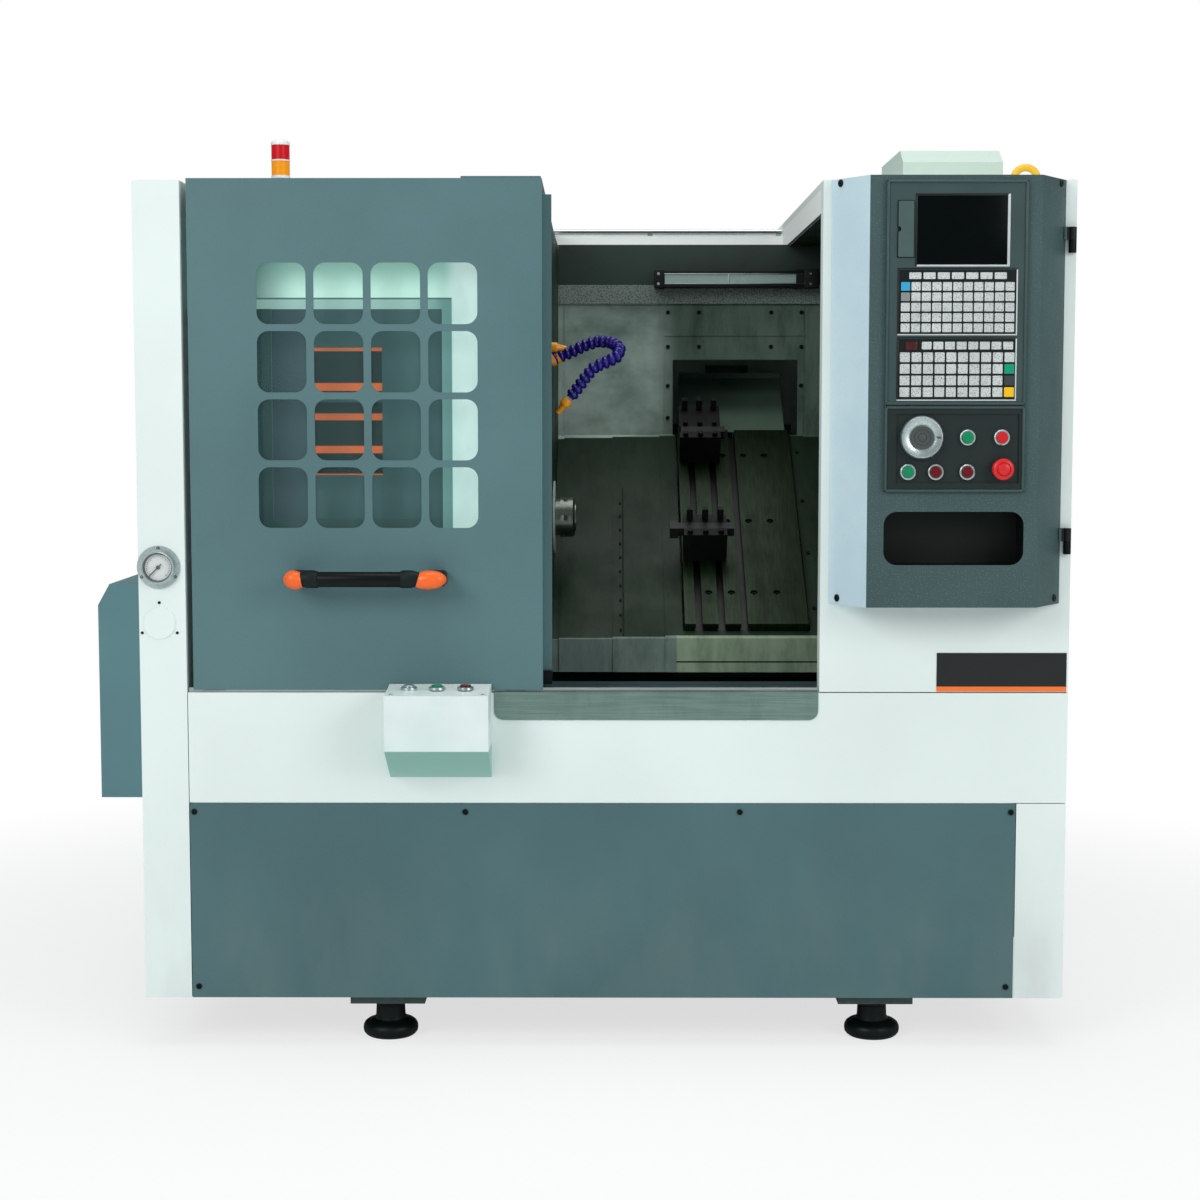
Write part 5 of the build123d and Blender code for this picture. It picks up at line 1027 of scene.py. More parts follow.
# %% Pendant corner screws
CHEEK_DEPTH, CHEEK_TURN = 94.0, 61.0
PENDANT_BACK_Y = -556.0
CHEEKS = (
    {"screw_x": 514.0, "outer_x": 500.0, "width": 60.0, "side": -1},
    {"screw_x": 923.0, "outer_x": 937.0, "width": 62.0, "side": 1},
)
corner_screws = []
for cheek in CHEEKS:
    depth = abs(cheek["screw_x"] - cheek["outer_x"]) / cheek["width"] * CHEEK_DEPTH
    facing = (cheek["side"] * CHEEK_DEPTH, -CHEEK_TURN, 0)
    points = [(cheek["screw_x"], PENDANT_BACK_Y - depth, z) for z in (874.0, 1647.0)]
    corner_screws += screws("corner", points, 7.0, facing, black_paint, 2.6)
carried(joined(corner_screws, "pendant_corner_screws"), "pendant")
print("pendant screws", len(corner_screws))

# %% [markdown]
# Small cap screws hold the rear sheet and the two side sheets. A folded strip closes the step
# between the rear sheet and the higher roof on the right and over the left post.

# %% Sheet screws and closing strips
rear_points = [
    (-780, 1600), (-430, 1600), (-80, 1600), (270, 1600), (560, 1600), (930, 1600),
    (-780, 860), (-780, 130), (-330, 130), (-330, 360), (560, 130), (930, 130), (560, 360),
    (930, 360), (550, 980),
]
side_points = [
    (-520, 1610), (70, 1610), (655, 1610), (-520, 150), (70, 150), (655, 150), (-520, 880),
    (655, 880),
]
REAR_Y, LEFT_X, RIGHT_X = 691.8, -810.8, 957.9
sheet_screws = screws(
    "rear_screw", [(x, REAR_Y, z) for x, z in rear_points], 6.0, BACK, height=2.6
)
sheet_screws += screws(
    "left_screw", [(LEFT_X, y, z) for y, z in side_points], 6.0, LEFT, height=2.6
)
sheet_screws += screws(
    "right_screw", [(RIGHT_X, y, z) for y, z in side_points], 6.0, RIGHT, height=0.5
)
carried(joined(sheet_screws, "sheet_screws"), "machine")
strips = [
    rounded_block("strip", (low_x, 688.5, 1627), (high_x, 691.5, 1655.5), 0.8, white_paint)
    for low_x, high_x in ((483.5, 956.5), (-809.5, -721.5))
]
carried(joined(strips, "rear_closing_strips"), "machine")
print("sheet screws", len(sheet_screws))

# %% [markdown]
# The levelling feet are thick rubber discs, bulged where they carry the weight, with a neck, a
# bolt and a nut above. A disc is turned with its bulge, then the nut as a six-sided disc.

# %% Levelling feet
FOOT = (-347.5, -462)
FOOT_SPAN_X, FOOT_SPAN_Y = 949.5, 952
foot_parts = [
    turned(
        "foot_disc",
        [(0, 46), (3, 50), (7, 53), (13, 54), (19, 53.4), (24, 51), (28, 46), (30, 37), (33, 31),
         (40, 29), (60, 28), (63, 30), (74, 30)],
        (*FOOT, 0), UP, black_rubber, sides=64,
    ),
    turned("foot_bolt", [(0, 10), (75, 10)], (*FOOT, 74), UP, black_oxide, sides=24),
    turned(
        "foot_nut", [(0, 17), (1, 18.4), (15, 18.4), (16, 17)], (*FOOT, 117), UP, black_oxide,
        sides=6,
    ),
]
foot_places = [
    (FOOT[0] + x, FOOT[1] + y, 0) for y in (0, FOOT_SPAN_Y) for x in (0, FOOT_SPAN_X)
]
feet = repeated(joined(foot_parts, "levelling_foot"), foot_places)
levelling_feet = joined(feet, "levelling_feet_turned")
carried(levelling_feet, "machine")
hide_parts("leveling_feet")
print("feet", len(feet))

# %% [markdown]
# The door handle is a tube held by a socket at each end, with a leg back to the door. An orange
# leaf closes each socket. The tube and sockets are turned along their length; a leaf starts as a
# ball, stretched along the tube and drawn down towards the tube's middle. That last pull grows
# with the square of the distance, which no operator does, so it moves the points themselves.

# %% Door handle
HANDLE_Y, HANDLE_Z = -611.0, 911.0
LEAF_Y, LEAF_DRAWN = -611.2, 3.0
LEAF_HALF_Y, LEAF_HALF_Z = 16.6, 17.8
tube = turned(
    "handle_tube", [(0, 13.5), (3, 14.6), (211, 14.6), (214, 13.5)], (-492, HANDLE_Y, HANDLE_Z),
    RIGHT, black_plastic,
)
sleeve_places = [(x, HANDLE_Y, HANDLE_Z) for x in (-484.0, -307.6)]
sleeve = turned(
    "sleeve", [(0, 14.9), (0.8, 16.2), (21.2, 16.2), (22, 14.9)], sleeve_places[0], RIGHT,
    grip_green,
)
sleeves = repeated(sleeve, sleeve_places)


def leaf_cover(name, outer_x, inner_x):
    """An orange leaf: a ball stretched along the tube and drawn to a blunt point inwards."""
    only()
    length = abs(inner_x - outer_x)
    middle = Vector(((outer_x + inner_x) / 2, LEAF_Y, HANDLE_Z)) * MM
    size = Vector((length / 2, LEAF_HALF_Y, LEAF_HALF_Z)) * MM
    bpy.ops.mesh.primitive_uv_sphere_add(
        segments=48, ring_count=24, radius=1, location=middle, scale=size
    )
    leaf = bpy.context.object
    bpy.ops.object.transform_apply(location=True, rotation=True, scale=True)
    for vertex in leaf.data.vertices:
        near = 1 - min(1.0, abs(vertex.co.x / MM - inner_x) / length)
        vertex.co.z -= LEAF_DRAWN * MM * near * near
    return settle(leaf, name, orange_plastic, smooth=60)


covers = [leaf_cover("cover_left", -527.0, -485.0), leaf_cover("cover_right", -221.0, -287.0)]
sockets = [
    turned(
        "socket_left", [(0, 6), (6, 10.0), (24, 12.6), (34, 16.6), (48, 16.6), (52, 15.2)],
        (-518, HANDLE_Y, HANDLE_Z + 1), RIGHT, grip_green,
    ),
    turned(
        "socket_right", [(0, 15.2), (4, 16.6), (20, 16.6), (34, 12.6), (62, 9.0)],
        (-306, HANDLE_Y, HANDLE_Z + 1), RIGHT, grip_green,
    ),
]
legs = [
    rounded_block("leg", (low_x, -606, 897), (high_x, -551, 925), 6, black_plastic)
    for low_x, high_x in ((-519, -489), (-262, -224))
]
door_grip = joined([tube] + sleeves + sockets + covers + legs, "door_grip")
carried(door_grip, "sliding_door")
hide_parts("door_handle")
print("handle faces", len(door_grip.data.polygons))

# %% [markdown]
# The pressure gauge on the left post: a stepped bright rim, a white dial with ticks, a needle
# that is a solid of its own, and a thin domed glass. The ticks are small bars set round a circle;
# a long and a short one are modelled, and each copy is turned first and moved after, so that it
# points at the middle. The dial is bored, because the needle's hub passes through it.

# %% Gauge
GAUGE_X, GAUGE_Z = -772.0, 930.0
TICKS, FIRST_TICK, TICK_STEP, LONG_EVERY = 28, 225, 10, 9
TICK_RIM, LONG_TICK, SHORT_TICK = 22.8, 4.2, 2.4
FLANGE_TURNS = (90, 210, 330)
bezel = turned(
    "bezel",
    [(-6.6, 30.0), (0, 30.0), (0.2, 31.4), (3.4, 31.4), (5.2, 29.6), (5.2, 28.6), (4.2, 27.9),
     (-6.4, 27.7)],
    (GAUGE_X, -566.2, GAUGE_Z), FRONT, silver, sides=64,
)
shade_ring = turned(
    "shade_ring", [(-3.8, 27.6), (3.6, 27.6), (3.6, 26.6), (-3.6, 24.6)],
    (GAUGE_X, -563.8, GAUGE_Z), FRONT, black_plastic, sides=64,
)
dial = turned(
    "dial", [(0, 3.9), (0, 25.6), (0.4, 25.6), (0.4, 3.9)], (GAUGE_X, -560.4, GAUGE_Z), FRONT,
    white_plastic, sides=64, bored=True,
)
turns = [FIRST_TICK - number * TICK_STEP for number in range(TICKS)]
ticks = []
for length, own_turns in (
    (LONG_TICK, turns[::LONG_EVERY]),
    (SHORT_TICK, [turn for number, turn in enumerate(turns) if number % LONG_EVERY]),
):
    bar = rounded_block(
        "tick", (-length / 2, -0.2, -0.45), (length / 2, 0.2, 0.45), 0.08, black_plastic,
        segments=1,
    )
    points = around((GAUGE_X, -560.9, GAUGE_Z), TICK_RIM - length / 2, own_turns)
    ticks += spread(
        bar, [(point, (0, -radians(turn), 0)) for point, turn in zip(points, own_turns)]
    )
flange_points = around((GAUGE_X, -558.0, GAUGE_Z), 36.4, FLANGE_TURNS)
flange_screws = screws("flange_screw", flange_points, 2.9, height=2.2)
gauge_parts = [bezel, shade_ring, dial] + ticks + flange_screws
carried(joined(gauge_parts, "gauge_trim"), "machine")
glass = turned(
    "gauge_glass", [(0, 27.8), (0.6, 27.8), (1.2, 22.0), (1.5, 12.0)],
    (GAUGE_X, -568.4, GAUGE_Z), FRONT, gauge_clear, sides=64,
)
carried(glass, "machine")
print("gauge ticks", len(ticks))

# %% [markdown]
# Below the gauge the post has a second, blank hole of the same kind. A thin white disc with a
# dished rim closes it, and three small screws hold it at the same angles as the gauge's flange.

# %% Blank cover below the gauge
BLANK_Z = 824.0
cover_ring = turned(
    "blank_cover_rim", [(0, 31.0), (0.5, 31.0), (0.9, 30.4), (0.9, 29.6), (0.3, 29.2)],
    (GAUGE_X, -556.4, BLANK_Z), FRONT, white_paint, sides=64,
)
cover_points = around((GAUGE_X, -555.2, BLANK_Z), 38.5, FLANGE_TURNS)
cover_screws = screws("cover_screw", cover_points, 2.8, height=1.4)
carried(joined([cover_ring] + cover_screws, "blank_cover_trim"), "machine")
print("blank cover screws", len(cover_screws))

# %% [markdown]
# The small box below the door has two push buttons and a blank plug in its top. Each sits in a
# bright collar on a dark seal, and both are rings that the button's stem slides through. The
# box's lid is held by two screws.

# %% Button box trim
BOX_Y, BOX_TOP = -610.0, 707.5
PLUG_X, BUTTON_PLACES = -293.0, (-240.4, -186.7)
collar_places = [(x, BOX_Y, BOX_TOP - 5.0) for x in (PLUG_X, *BUTTON_PLACES)]
collar = turned(
    "collar", [(0, 11.2), (0.1, 15.2), (1.2, 15.8), (5.6, 15.2), (6.6, 13.4), (6.6, 11.2)],
    collar_places[0], UP, silver, sides=48, bored=True,
)
collars = repeated(collar, collar_places)
seal_places = [(x, BOX_Y, BOX_TOP - 7.2) for x in BUTTON_PLACES]
seal = turned(
    "seal", [(0, 11.2), (0.1, 16.6), (1.6, 16.6), (1.7, 11.2)], seal_places[0], UP, black_rubber,
    bored=True,
)
seals = repeated(seal, seal_places)
plug = turned(
    "plug", [(0, 10.8), (5.0, 10.8), (6.0, 9.6)], (PLUG_X, BOX_Y, BOX_TOP - 1.0), UP, silver
)
lid_points = [(-323, -655, 698.6), (-152, -655, 698.6)]
lid_screws = screws("lid_screw", lid_points, 3.6, (0, -0.08, 1), silver, 2.0)
box_trim = joined(collars + seals + [plug] + lid_screws, "button_box_trim")
carried(box_trim, "machine")
print("collars on the box", len(collars))

# %% [markdown]
# The pendant's raised control unit has a screen in a bezel. Below and at its right, where its
# chamfer faces the lamps, the bezel carries a painted highlight; above and at its left, painted
# shade. The dark glass is nearly black, and only its gloss varies.

# %% Screen
screen = Recipe("screen_glass")
screen_haze = screen.noise(8.0, 3.0)
screen.set(
    Base_Color=screen.mix(screen_haze, rgb(2, 7, 6), rgb(4, 10, 9)),
    Roughness=screen.ramp(screen_haze, 0.3, 0.8, 0.16, 0.26),
    Specular_IOR_Level=0.08,
)
# Painted highlight and painted shade: one edge finish, lit and shaded.
lit_bezel_edge = plastic("painted_highlight_bezel_edge", rgb(196, 204, 206), rough=0.3)
shaded_bezel_edge = plastic("painted_shade_bezel_edge", rgb(22, 26, 28), rough=0.4)
screen_parts = [
    rounded_block("screen", (646, -655.6, 1493), (812, -653.9, 1617), 0.5, screen.material),
    rounded_block("right", (810.5, -657.6, 1489), (815.5, -654.5, 1620.5), 1.2, lit_bezel_edge),
    rounded_block("bottom", (645, -657.6, 1488.4), (815.5, -654.5, 1492.0), 1.2, lit_bezel_edge),
    rounded_block("left", (642, -657.4, 1489), (646.0, -654.5, 1620.5), 1.2, shaded_bezel_edge),
    rounded_block("top", (642, -657.4, 1616.5), (815.5, -654.5, 1620.8), 1.2, shaded_bezel_edge),
]
carried(joined(screen_parts, "screen_and_bezel"), "pendant")
print("screen parts", len(screen_parts))

# %% [markdown]
# A thin frame runs round each key field, and a small red display sits between the keys. The same
# light falls on it as on the bezel, so the same painted highlight and painted shade finishes are
# used.

# %% Key field frames
FRAME_X, FRAME_WIDTH, FRAME_HEIGHT = (611.0, 830.6), 2.6, 2.4
field_bars = []
for low_z, high_z in ((1366.0, 1483.5), (1246.5, 1358.0)):
    left, right = FRAME_X
    for x_low, x_high, z_low, z_high, edge in (
        (left, left + FRAME_WIDTH, low_z, high_z, shaded_bezel_edge),
        (right - FRAME_WIDTH, right, low_z, high_z, lit_bezel_edge),
        (left, right, low_z - FRAME_HEIGHT, low_z, lit_bezel_edge),
        (left, right, high_z, high_z + FRAME_HEIGHT, shaded_bezel_edge),
    ):
        field_bars.append(rounded_block(
            "field", (x_low, -658.0, z_low), (x_high, -655.5, z_high), 0.8, edge, segments=2
        ))
small_display = Recipe("small_display_red")
glow = small_display.noise(90.0, 1.0)
small_display.set(
    Base_Color=small_display.mix(glow, rgb(52, 14, 18), rgb(86, 22, 26)),
    Roughness=small_display.ramp(glow, 0.3, 0.7, 0.2, 0.3),
)
field_bars.append(rounded_block(
    "display", (627.0, -658.2, 1337.5), (648.0, -655.5, 1352.0), 0.6, small_display.material
))
carried(joined(field_bars, "key_field_frames"), "pendant")
print("key frame bars", len(field_bars))

# %% [markdown]
# Two raised borders run round the control unit and the operator plate: each stands in a shallow
# moulded frame of four rounded bars.

# %% Unit frames
UNIT_X, UNIT_WIDTH = (590.0, 848.0), 5.0
unit_paint = plastic("unit_frame_paint", rgb(58, 78, 77), rough=0.4)
unit_bars = []
for low_z, high_z in ((1236.5, 1645.0), (1076.5, 1234.5)):
    left, right = UNIT_X
    for x_low, x_high, z_low, z_high in (
        (left, left + UNIT_WIDTH, low_z, high_z), (right - UNIT_WIDTH, right, low_z, high_z),
        (left, right, low_z, low_z + UNIT_WIDTH), (left, right, high_z - UNIT_WIDTH, high_z),
    ):
        unit_bars.append(rounded_block(
            "frame", (x_low, -659.0, z_low), (x_high, -649.0, z_high), 1.8, unit_paint
        ))
carried(joined(unit_bars, "unit_frames"), "pendant")
print("unit frame bars", len(unit_bars))

# %% [markdown]
# The five push buttons stand in bright collars and the stop button in a red ring. All six are
# bored, because a button's stem slides through each.

# %% Collars of the push buttons
STOP_X, STOP_Z = 807.0, 1119.0
BUTTON_CENTRES = [
    (743.0, 1177.0), (806.0, 1177.0), (634.0, 1113.5), (685.0, 1113.5), (743.0, 1113.5),
]
button_places = [(x, -653.2, z) for x, z in BUTTON_CENTRES]
button_collar = turned(
    "button_collar", [(0, 11.2), (0.1, 15.4), (2.0, 15.4), (5.6, 14.6), (6.8, 13.0), (6.8, 11.2)],
    button_places[0], FRONT, silver, sides=48, bored=True,
)
button_collars = repeated(button_collar, button_places)
stop_ring = turned(
    "stop_ring", [(0, 11.4), (0.1, 18.0), (1.5, 18.0), (2.6, 17.2), (4.8, 13.0), (4.8, 11.4)],
    (STOP_X, -653.0, STOP_Z), FRONT, stop_red, sides=48, bored=True,
)
plate_trim = joined(button_collars + [stop_ring], "operator_plate_trim")
carried(plate_trim, "pendant")
print("collars", len(button_collars))

# %% [markdown]
# The stop button's mushroom head has a raised twist grip in its middle. The handwheel is a dished
# bright disc with a dark hub, fine rings and a small pointer mark.

# %% Stop button and handwheel
PLATE_FACE = -654.0
WHEEL_X, WHEEL_Z = 658.0, 1177.0
stop_head = turned(
    "stop_head",
    [(-24.0, 10.0), (11.0, 10.0), (11.4, 19.2), (16.0, 20.0), (20.4, 19.0), (22.6, 16.4),
     (23.0, 13.4), (21.6, 12.2), (22.0, 11.4), (26.2, 10.2), (26.9, 8.8)],
    (STOP_X, PLATE_FACE, STOP_Z), FRONT, stop_red, sides=64,
)
carried(stop_head, "stop_button")
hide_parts("emergency_stop")

wheel_disc = turned(
    "wheel_disc",
    [(0, 36.0), (1.5, 39.2), (9.0, 40.0), (13.5, 39.4), (16.0, 37.2), (16.6, 34.0), (13.0, 24.4),
     (12.4, 22.4)],
    (WHEEL_X, PLATE_FACE, WHEEL_Z), FRONT, silver, sides=72,
)
hub_dark = plastic("wheel_hub", rgb(74, 82, 80), rough=0.34)
hub = turned(
    "wheel_hub_disc",
    [(0, 21.6), (3.4, 21.6), (4.6, 20.4), (4.6, 15.2), (4.0, 14.8), (4.0, 14.2), (4.8, 13.8),
     (4.8, 8.2), (4.1, 7.8), (4.1, 7.2), (5.2, 6.6), (5.8, 5.4)],
    (WHEEL_X, PLATE_FACE - 12.2, WHEEL_Z), FRONT, hub_dark, sides=64,
)
mark = rounded_block(
    "wheel_mark", (WHEEL_X + 26.5, -671.0, WHEEL_Z - 1.8), (WHEEL_X + 34.5, -668.6, WHEEL_Z + 1.8),
    0.8, hub_dark,
)
wheel_faces = joined([wheel_disc, hub, mark], "wheel_faces")
carried(wheel_faces, "wheel")
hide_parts("handwheel")
print("handwheel faces", len(wheel_faces.data.polygons))

# %% [markdown]
# Signal tower: a white base, an amber and a red lens with fine ribs, and thin white rings. The
# ribs are painted light and shade in the lens material; the rings and the cap are turned.

# %% Signal tower
TOWER = (-691.5, 520.0)
TOWER_STEPS = [
    (1628, [(0, 22.4), (4, 22.4), (6, 19.0), (7, 12.0), (138, 10.6)], white_plastic),
    (1765, [(0, 11.0), (6, 20.0), (8, 22.2), (13, 22.2)], white_plastic),
    (1778, [(0, 21.4), (34, 21.4)], amber_lens),
    (1812, [(0, 22.4), (3, 22.4)], white_plastic),
    (1815, [(0, 21.4), (34, 21.4)], red_lens),
    (1849, [(0, 22.4), (6, 22.4), (9.5, 20.0), (11.4, 15.0), (12, 8.0)], white_plastic),
]
tower_parts = [
    turned(f"tower_{height}", steps, (*TOWER, height), UP, finish, sides=48)
    for height, steps, finish in TOWER_STEPS
]
tower = joined(tower_parts, "signal_tower")
carried(tower, "machine")
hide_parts("tower_light")
print("tower parts", len(tower_parts))

# %% [markdown]
# The work lamp is a slim fitting with black end blocks and a bright diffuser between two silver
# strips. The diffuser is pale and glossy, as an unlit tube is under room light.

# %% Work lamp
diffuser = Recipe("lamp_diffuser")
diffuser_haze = diffuser.noise(20.0, 2.0)
diffuser.set(
    Base_Color=diffuser.mix(diffuser_haze, rgb(168, 190, 184), rgb(140, 166, 160)),
    Roughness=diffuser.ramp(diffuser_haze, 0.2, 0.8, 0.15, 0.3),
    Coat_Weight=0.5,
)
lamp_parts = [
    rounded_block("diffuser", (207, 218.2, 1507), (519, 223, 1531), 1, diffuser.material),
    rounded_block("strip_top", (205, 215.6, 1531), (521, 220.4, 1537), 1, black_paint),
    rounded_block("strip_low", (205, 215.6, 1501), (521, 220.4, 1508), 1, black_paint),
    rounded_block("line_top", (206, 215.0, 1529.6), (520, 217.4, 1531.2), 0.5, silver, 2),
    rounded_block("line_low", (206, 215.0, 1507.8), (520, 217.4, 1509.2), 0.5, silver, 2),
    rounded_block("end_right", (518, 214.5, 1499), (552, 261, 1540), 1.5, black_paint),
    rounded_block("end_left", (184, 214.5, 1499), (206, 221, 1540), 1.5, black_paint),
    rounded_block("divider", (349, 217.4, 1507), (352, 219.4, 1531), 0.6, silver),
]
lamp_points = [(x, 214.6, z) for x in (193, 532) for z in (1508, 1530)]
lamp_parts += screws("lamp_screw", lamp_points, 3.2, finish=silver, height=2.0)
carried(joined(lamp_parts, "lamp_front"), "machine")
print("lamp parts", len(lamp_parts))

# %% [markdown]
# The guard behind the tools is bolted on: dark button heads follow its border up, across and
# down, and more heads follow the right edge of the sloping cover.

# %% Chamber bolts
GUARD_Y = 268.0
bolt_points = [(x, GUARD_Y, z) for z in (1370.0, 1447.0) for x in (216.0, 286.0, 448.5, 517.0)]
bolt_points += [(216.0, GUARD_Y, 1282.0), (216.0, GUARD_Y, 1210.0), (517.0, GUARD_Y, 1283.0)]
bolts = screws("guard_bolt", bolt_points, 4.6, FRONT, black_oxide, 3.0)
slope_points = [on_slope(504.0, s, -16) for s in (-168.2, 12.8, 193.3, 372.5)]
bolts += screws("slope_bolt", slope_points, 4.4, SLOPE_UP, black_oxide, 3.0)
carried(joined(bolts, "guard_bolts"), "z_carriage")
print("guard bolts", len(bolts))

# %% [markdown]
# The sloping cover is two sheets that meet in a lapped seam with a row of rivets, and the upright
# guard has a thin folded border. The seam is modelled level and then tipped up the slope.

# %% Seam and border of the covers
RIVETS, RIVET_STEP, FIRST_RIVET = 10, 47.0, -236.0
seam = rounded_block("slope_seam", (-1.2, -252, 0), (1.2, 240, 1.6), 0.3, black_oxide, segments=1)
placed(seam, on_slope(113.0, 0.0, -15.8), (SLOPE, 0, 0))
rivet_points = [
    on_slope(107.0, FIRST_RIVET + RIVET_STEP * number, -15.8) for number in range(RIVETS)
]
rivets = screws("rivet", rivet_points, 2.6, SLOPE_UP, black_oxide, 1.4)
carried(joined([seam] + rivets, "slope_seam"), "z_carriage")
border = [
    rounded_block("top", (208, 265.8, 1394), (526, 268.2, 1396.4), 0.5, guard_sheet, segments=1),
    rounded_block("left", (207, 265.8, 1180), (209.4, 268.2, 1396.4), 0.5, guard_sheet, segments=1),
]
carried(joined(border, "guard_border"), "z_carriage")
print("rivets", len(rivets))

# %% [markdown]
# Tool blocks. Square-headed clamp screws stand in two rows on each block, and three taller posts
# rise at its back. One screw is a square block with chamfered edges, tipped like the slope; a
# post is turned, with a neck at its top.

# %% Clamp screws
BLOCKS = [(-32.5, 37.5), (313.6, 435.6)]
BLOCK_TOP = 68.0
SCREW_WIDTH, SCREW_HEIGHT = 10.0, 9.0
COLUMNS = (252.0, 284.0, 316.0)
square_head = rounded_block(
    "clamp", (-SCREW_WIDTH / 2, -SCREW_WIDTH / 2, 0),
    (SCREW_WIDTH / 2, SCREW_WIDTH / 2, SCREW_HEIGHT), SCREW_WIDTH * 0.12, black_oxide, segments=2,
)
head_places = []
post_points = []
for s_low, s_high in BLOCKS:
    rows = [s for s in (s_low + 9.0, s_low + 50.0) if s < s_high - 20]
    for x in COLUMNS:
        head_places += [(on_slope(x, s, BLOCK_TOP), (SLOPE, 0, 0)) for s in rows]
        post_points.append(on_slope(x, s_high - 12.0, BLOCK_TOP))
post = turned(
    "post", [(0, 6.6), (22, 6.6), (25, 5.0), (26.5, 3.4)], post_points[0], SLOPE_UP, black_oxide,
    sides=16,
)
clamp_screws = spread(square_head, head_places) + repeated(post, post_points)
carried(joined(clamp_screws, "clamp_screws"), "tool_slide")
print("clamp screws", len(clamp_screws))

# %% [markdown]
# Counterbored screws hold the tool plate, three rows of four, their heads just below its ground
# face.

# %% Tool plate screws
plate_points = [
    on_slope(x, s, -9.0) for s in (-136.5, 102.4, 338.7) for x in (288.5, 335.0, 381.5, 428.0)
]
plate_screws = screws("plate_screw", plate_points, 6.6, SLOPE_UP, black_oxide, 5.0)
carried(joined(plate_screws, "plate_screws"), "tool_slide")
print("plate screws", len(plate_screws))

# %% [markdown]
# The spindle's closing nut: a bright ring with a dark bore and a groove for its wrench; the
# collet's slits show as thin dark lines on its end face, three of them round the bore.

# %% Spindle nose
NOSE_X, SLIT_X, SLIT_RADIUS, SLITS = -17.9, 14.3, 22.2, 3
nose_ring = turned(
    "nose_ring",
    [(0, 40.9), (6, 40.9), (7, 40.2), (9, 40.2), (10, 40.9), (23, 40.9), (29.5, 37.0),
     (30.4, 34.0), (30.4, 30.0), (29.6, 29.0)],
    (NOSE_X, SPINDLE_Y, SPINDLE_Z), RIGHT, nose_steel, sides=72,
)
slit = rounded_block("slit", (0, -0.6, -7.4), (0.6, 0.6, 7.4), 0.1, black_plastic, segments=1)
slit_places = []
for number in range(SLITS):
    angle = radians(30 + number * 360 / SLITS)
    out_y, out_z = SLIT_RADIUS * sin(angle), SLIT_RADIUS * cos(angle)
    slit_places.append(((SLIT_X, SPINDLE_Y + out_y, SPINDLE_Z + out_z), (-angle, 0, 0)))
slits = spread(slit, slit_places)
carried(joined([nose_ring] + slits, "spindle_nose"), "spindle_assembly")
print("slits", len(slits))

# %% [markdown]
# The coolant hose is a chain of moulded ball-and-socket links. One link is turned, upright at the
# origin, and copied at even distances along the hose's bends, each copy tipped along the path.
# A link that would stand inside the chamber's wall is skipped. Amber nozzles close the chain.

# %% Coolant hose
HOSE = [
    (-34, -330, 1326), (-12, -330, 1334), (10, -330, 1343), (35, -331, 1355), (62, -335, 1363),
    (88, -350, 1361), (104, -374, 1349), (100, -394, 1332), (80, -402, 1321), (56, -404, 1312),
    (38, -404, 1292), (22, -402, 1270), (4, -400, 1248), (-14, -400, 1226),
]
LINK_PITCH = 13.0
LINK_STEPS = [
    (-7.5, 6.6), (-6.5, 10.2), (-4.0, 12.4), (-1.0, 12.8), (1.8, 11.6), (3.6, 8.8), (4.6, 7.8),
    (6.2, 8.6), (7.2, 7.2),
]
HOSE_WALL_X, FIRST_LINK_X = -31.5, -28.0


def along(points, spacing):
    """Places and directions at even distances along a run of points, in millimetres."""
    places = []
    left = 0.0
    for start, stop in zip(points, points[1:]):
        start, stop = Vector(start), Vector(stop)
        run = stop - start
        travelled = left
        while travelled < run.length:
            places.append((start + run.normalized() * travelled, run.normalized()))
            travelled += spacing
        left = travelled - run.length
    return places


link_places = [
    (point, way.to_track_quat("Z", "Y").to_euler())
    for point, way in along(HOSE[:-1], LINK_PITCH) if point.x >= FIRST_LINK_X
]
links = spread(turned("link", LINK_STEPS, (0, 0, 0), UP, hose_violet, sides=20), link_places)
NOZZLES = [
    ([(0, 8.8), (5, 10.8), (13, 10.4), (17, 7.2), (34, 4.8), (35, 3.4)], HOSE[-2],
     Vector(HOSE[-1]) - Vector(HOSE[-2])),
    ([(0, 13.0), (8, 13.0), (10, 10.6), (22, 10.4)], (HOSE_WALL_X, -330, 1326), (1, 0, 0.3)),
    ([(0, 10.0), (10, 10.4), (14, 7.4), (30, 5.4)], (HOSE_WALL_X, -330, 1352), (1, 0, -0.1)),
]
nozzles = [
    turned("nozzle", steps, at, way, amber_nozzle, sides=24) for steps, at, way in NOZZLES
]
hose = joined(links + nozzles, "hose_links")
carried(hose, "machine")
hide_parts("coolant_hose")
print("hose links", len(links), "nozzles", len(nozzles))

# %% [markdown]
# The floor is a plain pale sheet that keeps the machine's shadow. To the camera it glows to
# almost white, more with the distance from the machine, as a studio floor does under its own
# lamps, so that no extra light falls on the machine itself.

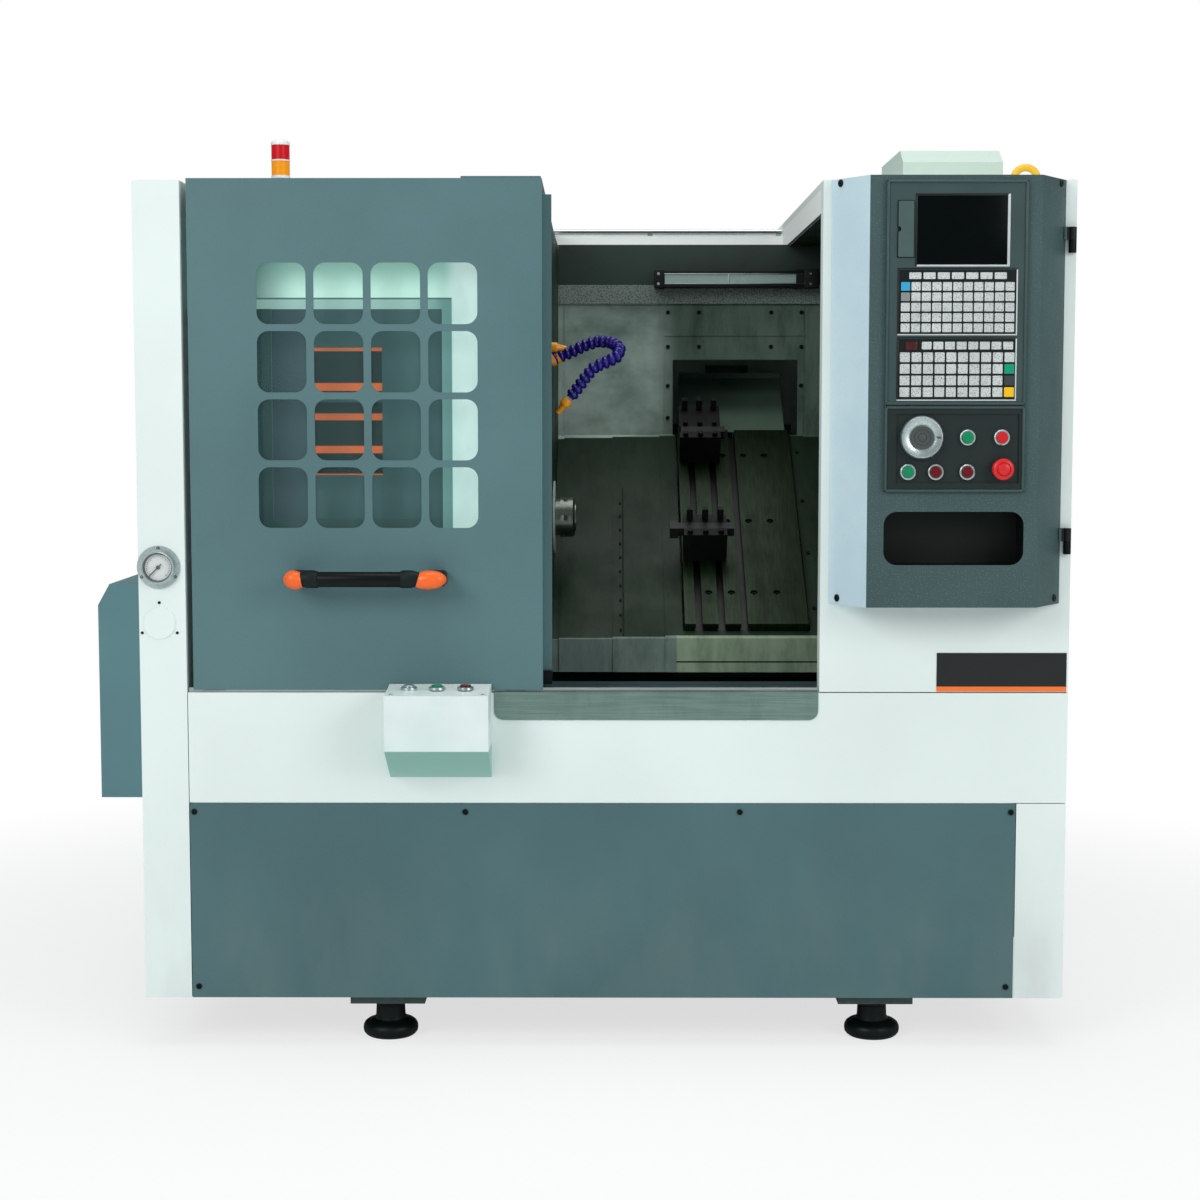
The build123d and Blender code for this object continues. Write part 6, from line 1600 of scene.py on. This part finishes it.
# %% Floor
FLOOR_SIZE, FLOOR_Z = 60, -0.0005
bpy.ops.object.select_all(action="DESELECT")
bpy.ops.mesh.primitive_plane_add(size=FLOOR_SIZE, location=(0, 0, FLOOR_Z))
floor = bpy.context.object
floor.name = "studio_floor"
floor_recipe = Recipe("studio_floor_white")
floor_recipe.set(Base_Color=rgb(244, 246, 246), Roughness=0.9, Specular_IOR_Level=0.0)
emission = floor_recipe.node(
    "ShaderNodeEmission", None, {"Color": (1, 1, 1, 1), "Strength": 1.0}
)
x, y, z = floor_recipe.axes()
far_out = floor_recipe.ramp(x * x + y * y, 1.2, 7.0, 0.7, 1.0)
shaded = Flow(floor_recipe, floor_recipe.shader.outputs[0])
blend = floor_recipe.node(
    "ShaderNodeMixShader", None, {0: floor_recipe.seen_directly() * far_out, 1: shaded, 2: emission}
)
floor_recipe.tree.links.new(blend.socket, floor_recipe.output.inputs[0])
floor.data.materials.append(floor_recipe.material)
print("floor", FLOOR_SIZE, "m wide")

# %% [markdown]
# The world gives a weak, slightly blue light from all sides, but the camera sees it as plain
# white, as a cut-out photograph does. Three large soft lamps light the scene from the front left,
# the right and above; large lamps give the soft shadows of a studio.

# %% World and lamps
world = bpy.data.worlds.new("studio")
bpy.context.scene.world = world
world.use_nodes = True
sky = Graph(world.node_tree)
room = sky.node("ShaderNodeBackground", None, {"Color": (0.93, 0.98, 1.0, 1), "Strength": 0.36})
backdrop = sky.node("ShaderNodeBackground", None, {"Color": (1, 1, 1, 1), "Strength": 1.0})
sky_mix = sky.node("ShaderNodeMixShader", None, {0: sky.seen_directly(), 1: room, 2: backdrop})
sky_out = sky.tree.nodes.new("ShaderNodeOutputWorld")
sky.tree.links.new(sky_mix.socket, sky_out.inputs[0])


def soft_lamp(name, place, target, size, power):
    """A large square lamp that points at a target, in metres and watts."""
    data = bpy.data.lights.new(name, "AREA")
    data.shape = "SQUARE"
    data.size = size
    data.energy = power
    lamp = bpy.data.objects.new(name, data)
    lamp.location = place
    lamp.rotation_euler = (Vector(target) - Vector(place)).to_track_quat("-Z", "Y").to_euler()
    bpy.context.scene.collection.objects.link(lamp)
    return lamp


lamps = [
    soft_lamp("front_left_lamp", (-3.2, -4.6, 3.4), (0, 0, 0.9), 2.6, 125),
    soft_lamp("front_right_lamp", (3.6, -3.8, 2.6), (0, 0, 0.9), 2.2, 74),
    soft_lamp("top_lamp", (0.2, -0.4, 4.6), (0, 0, 0.8), 3.0, 80),
]
print("lamps", len(lamps))
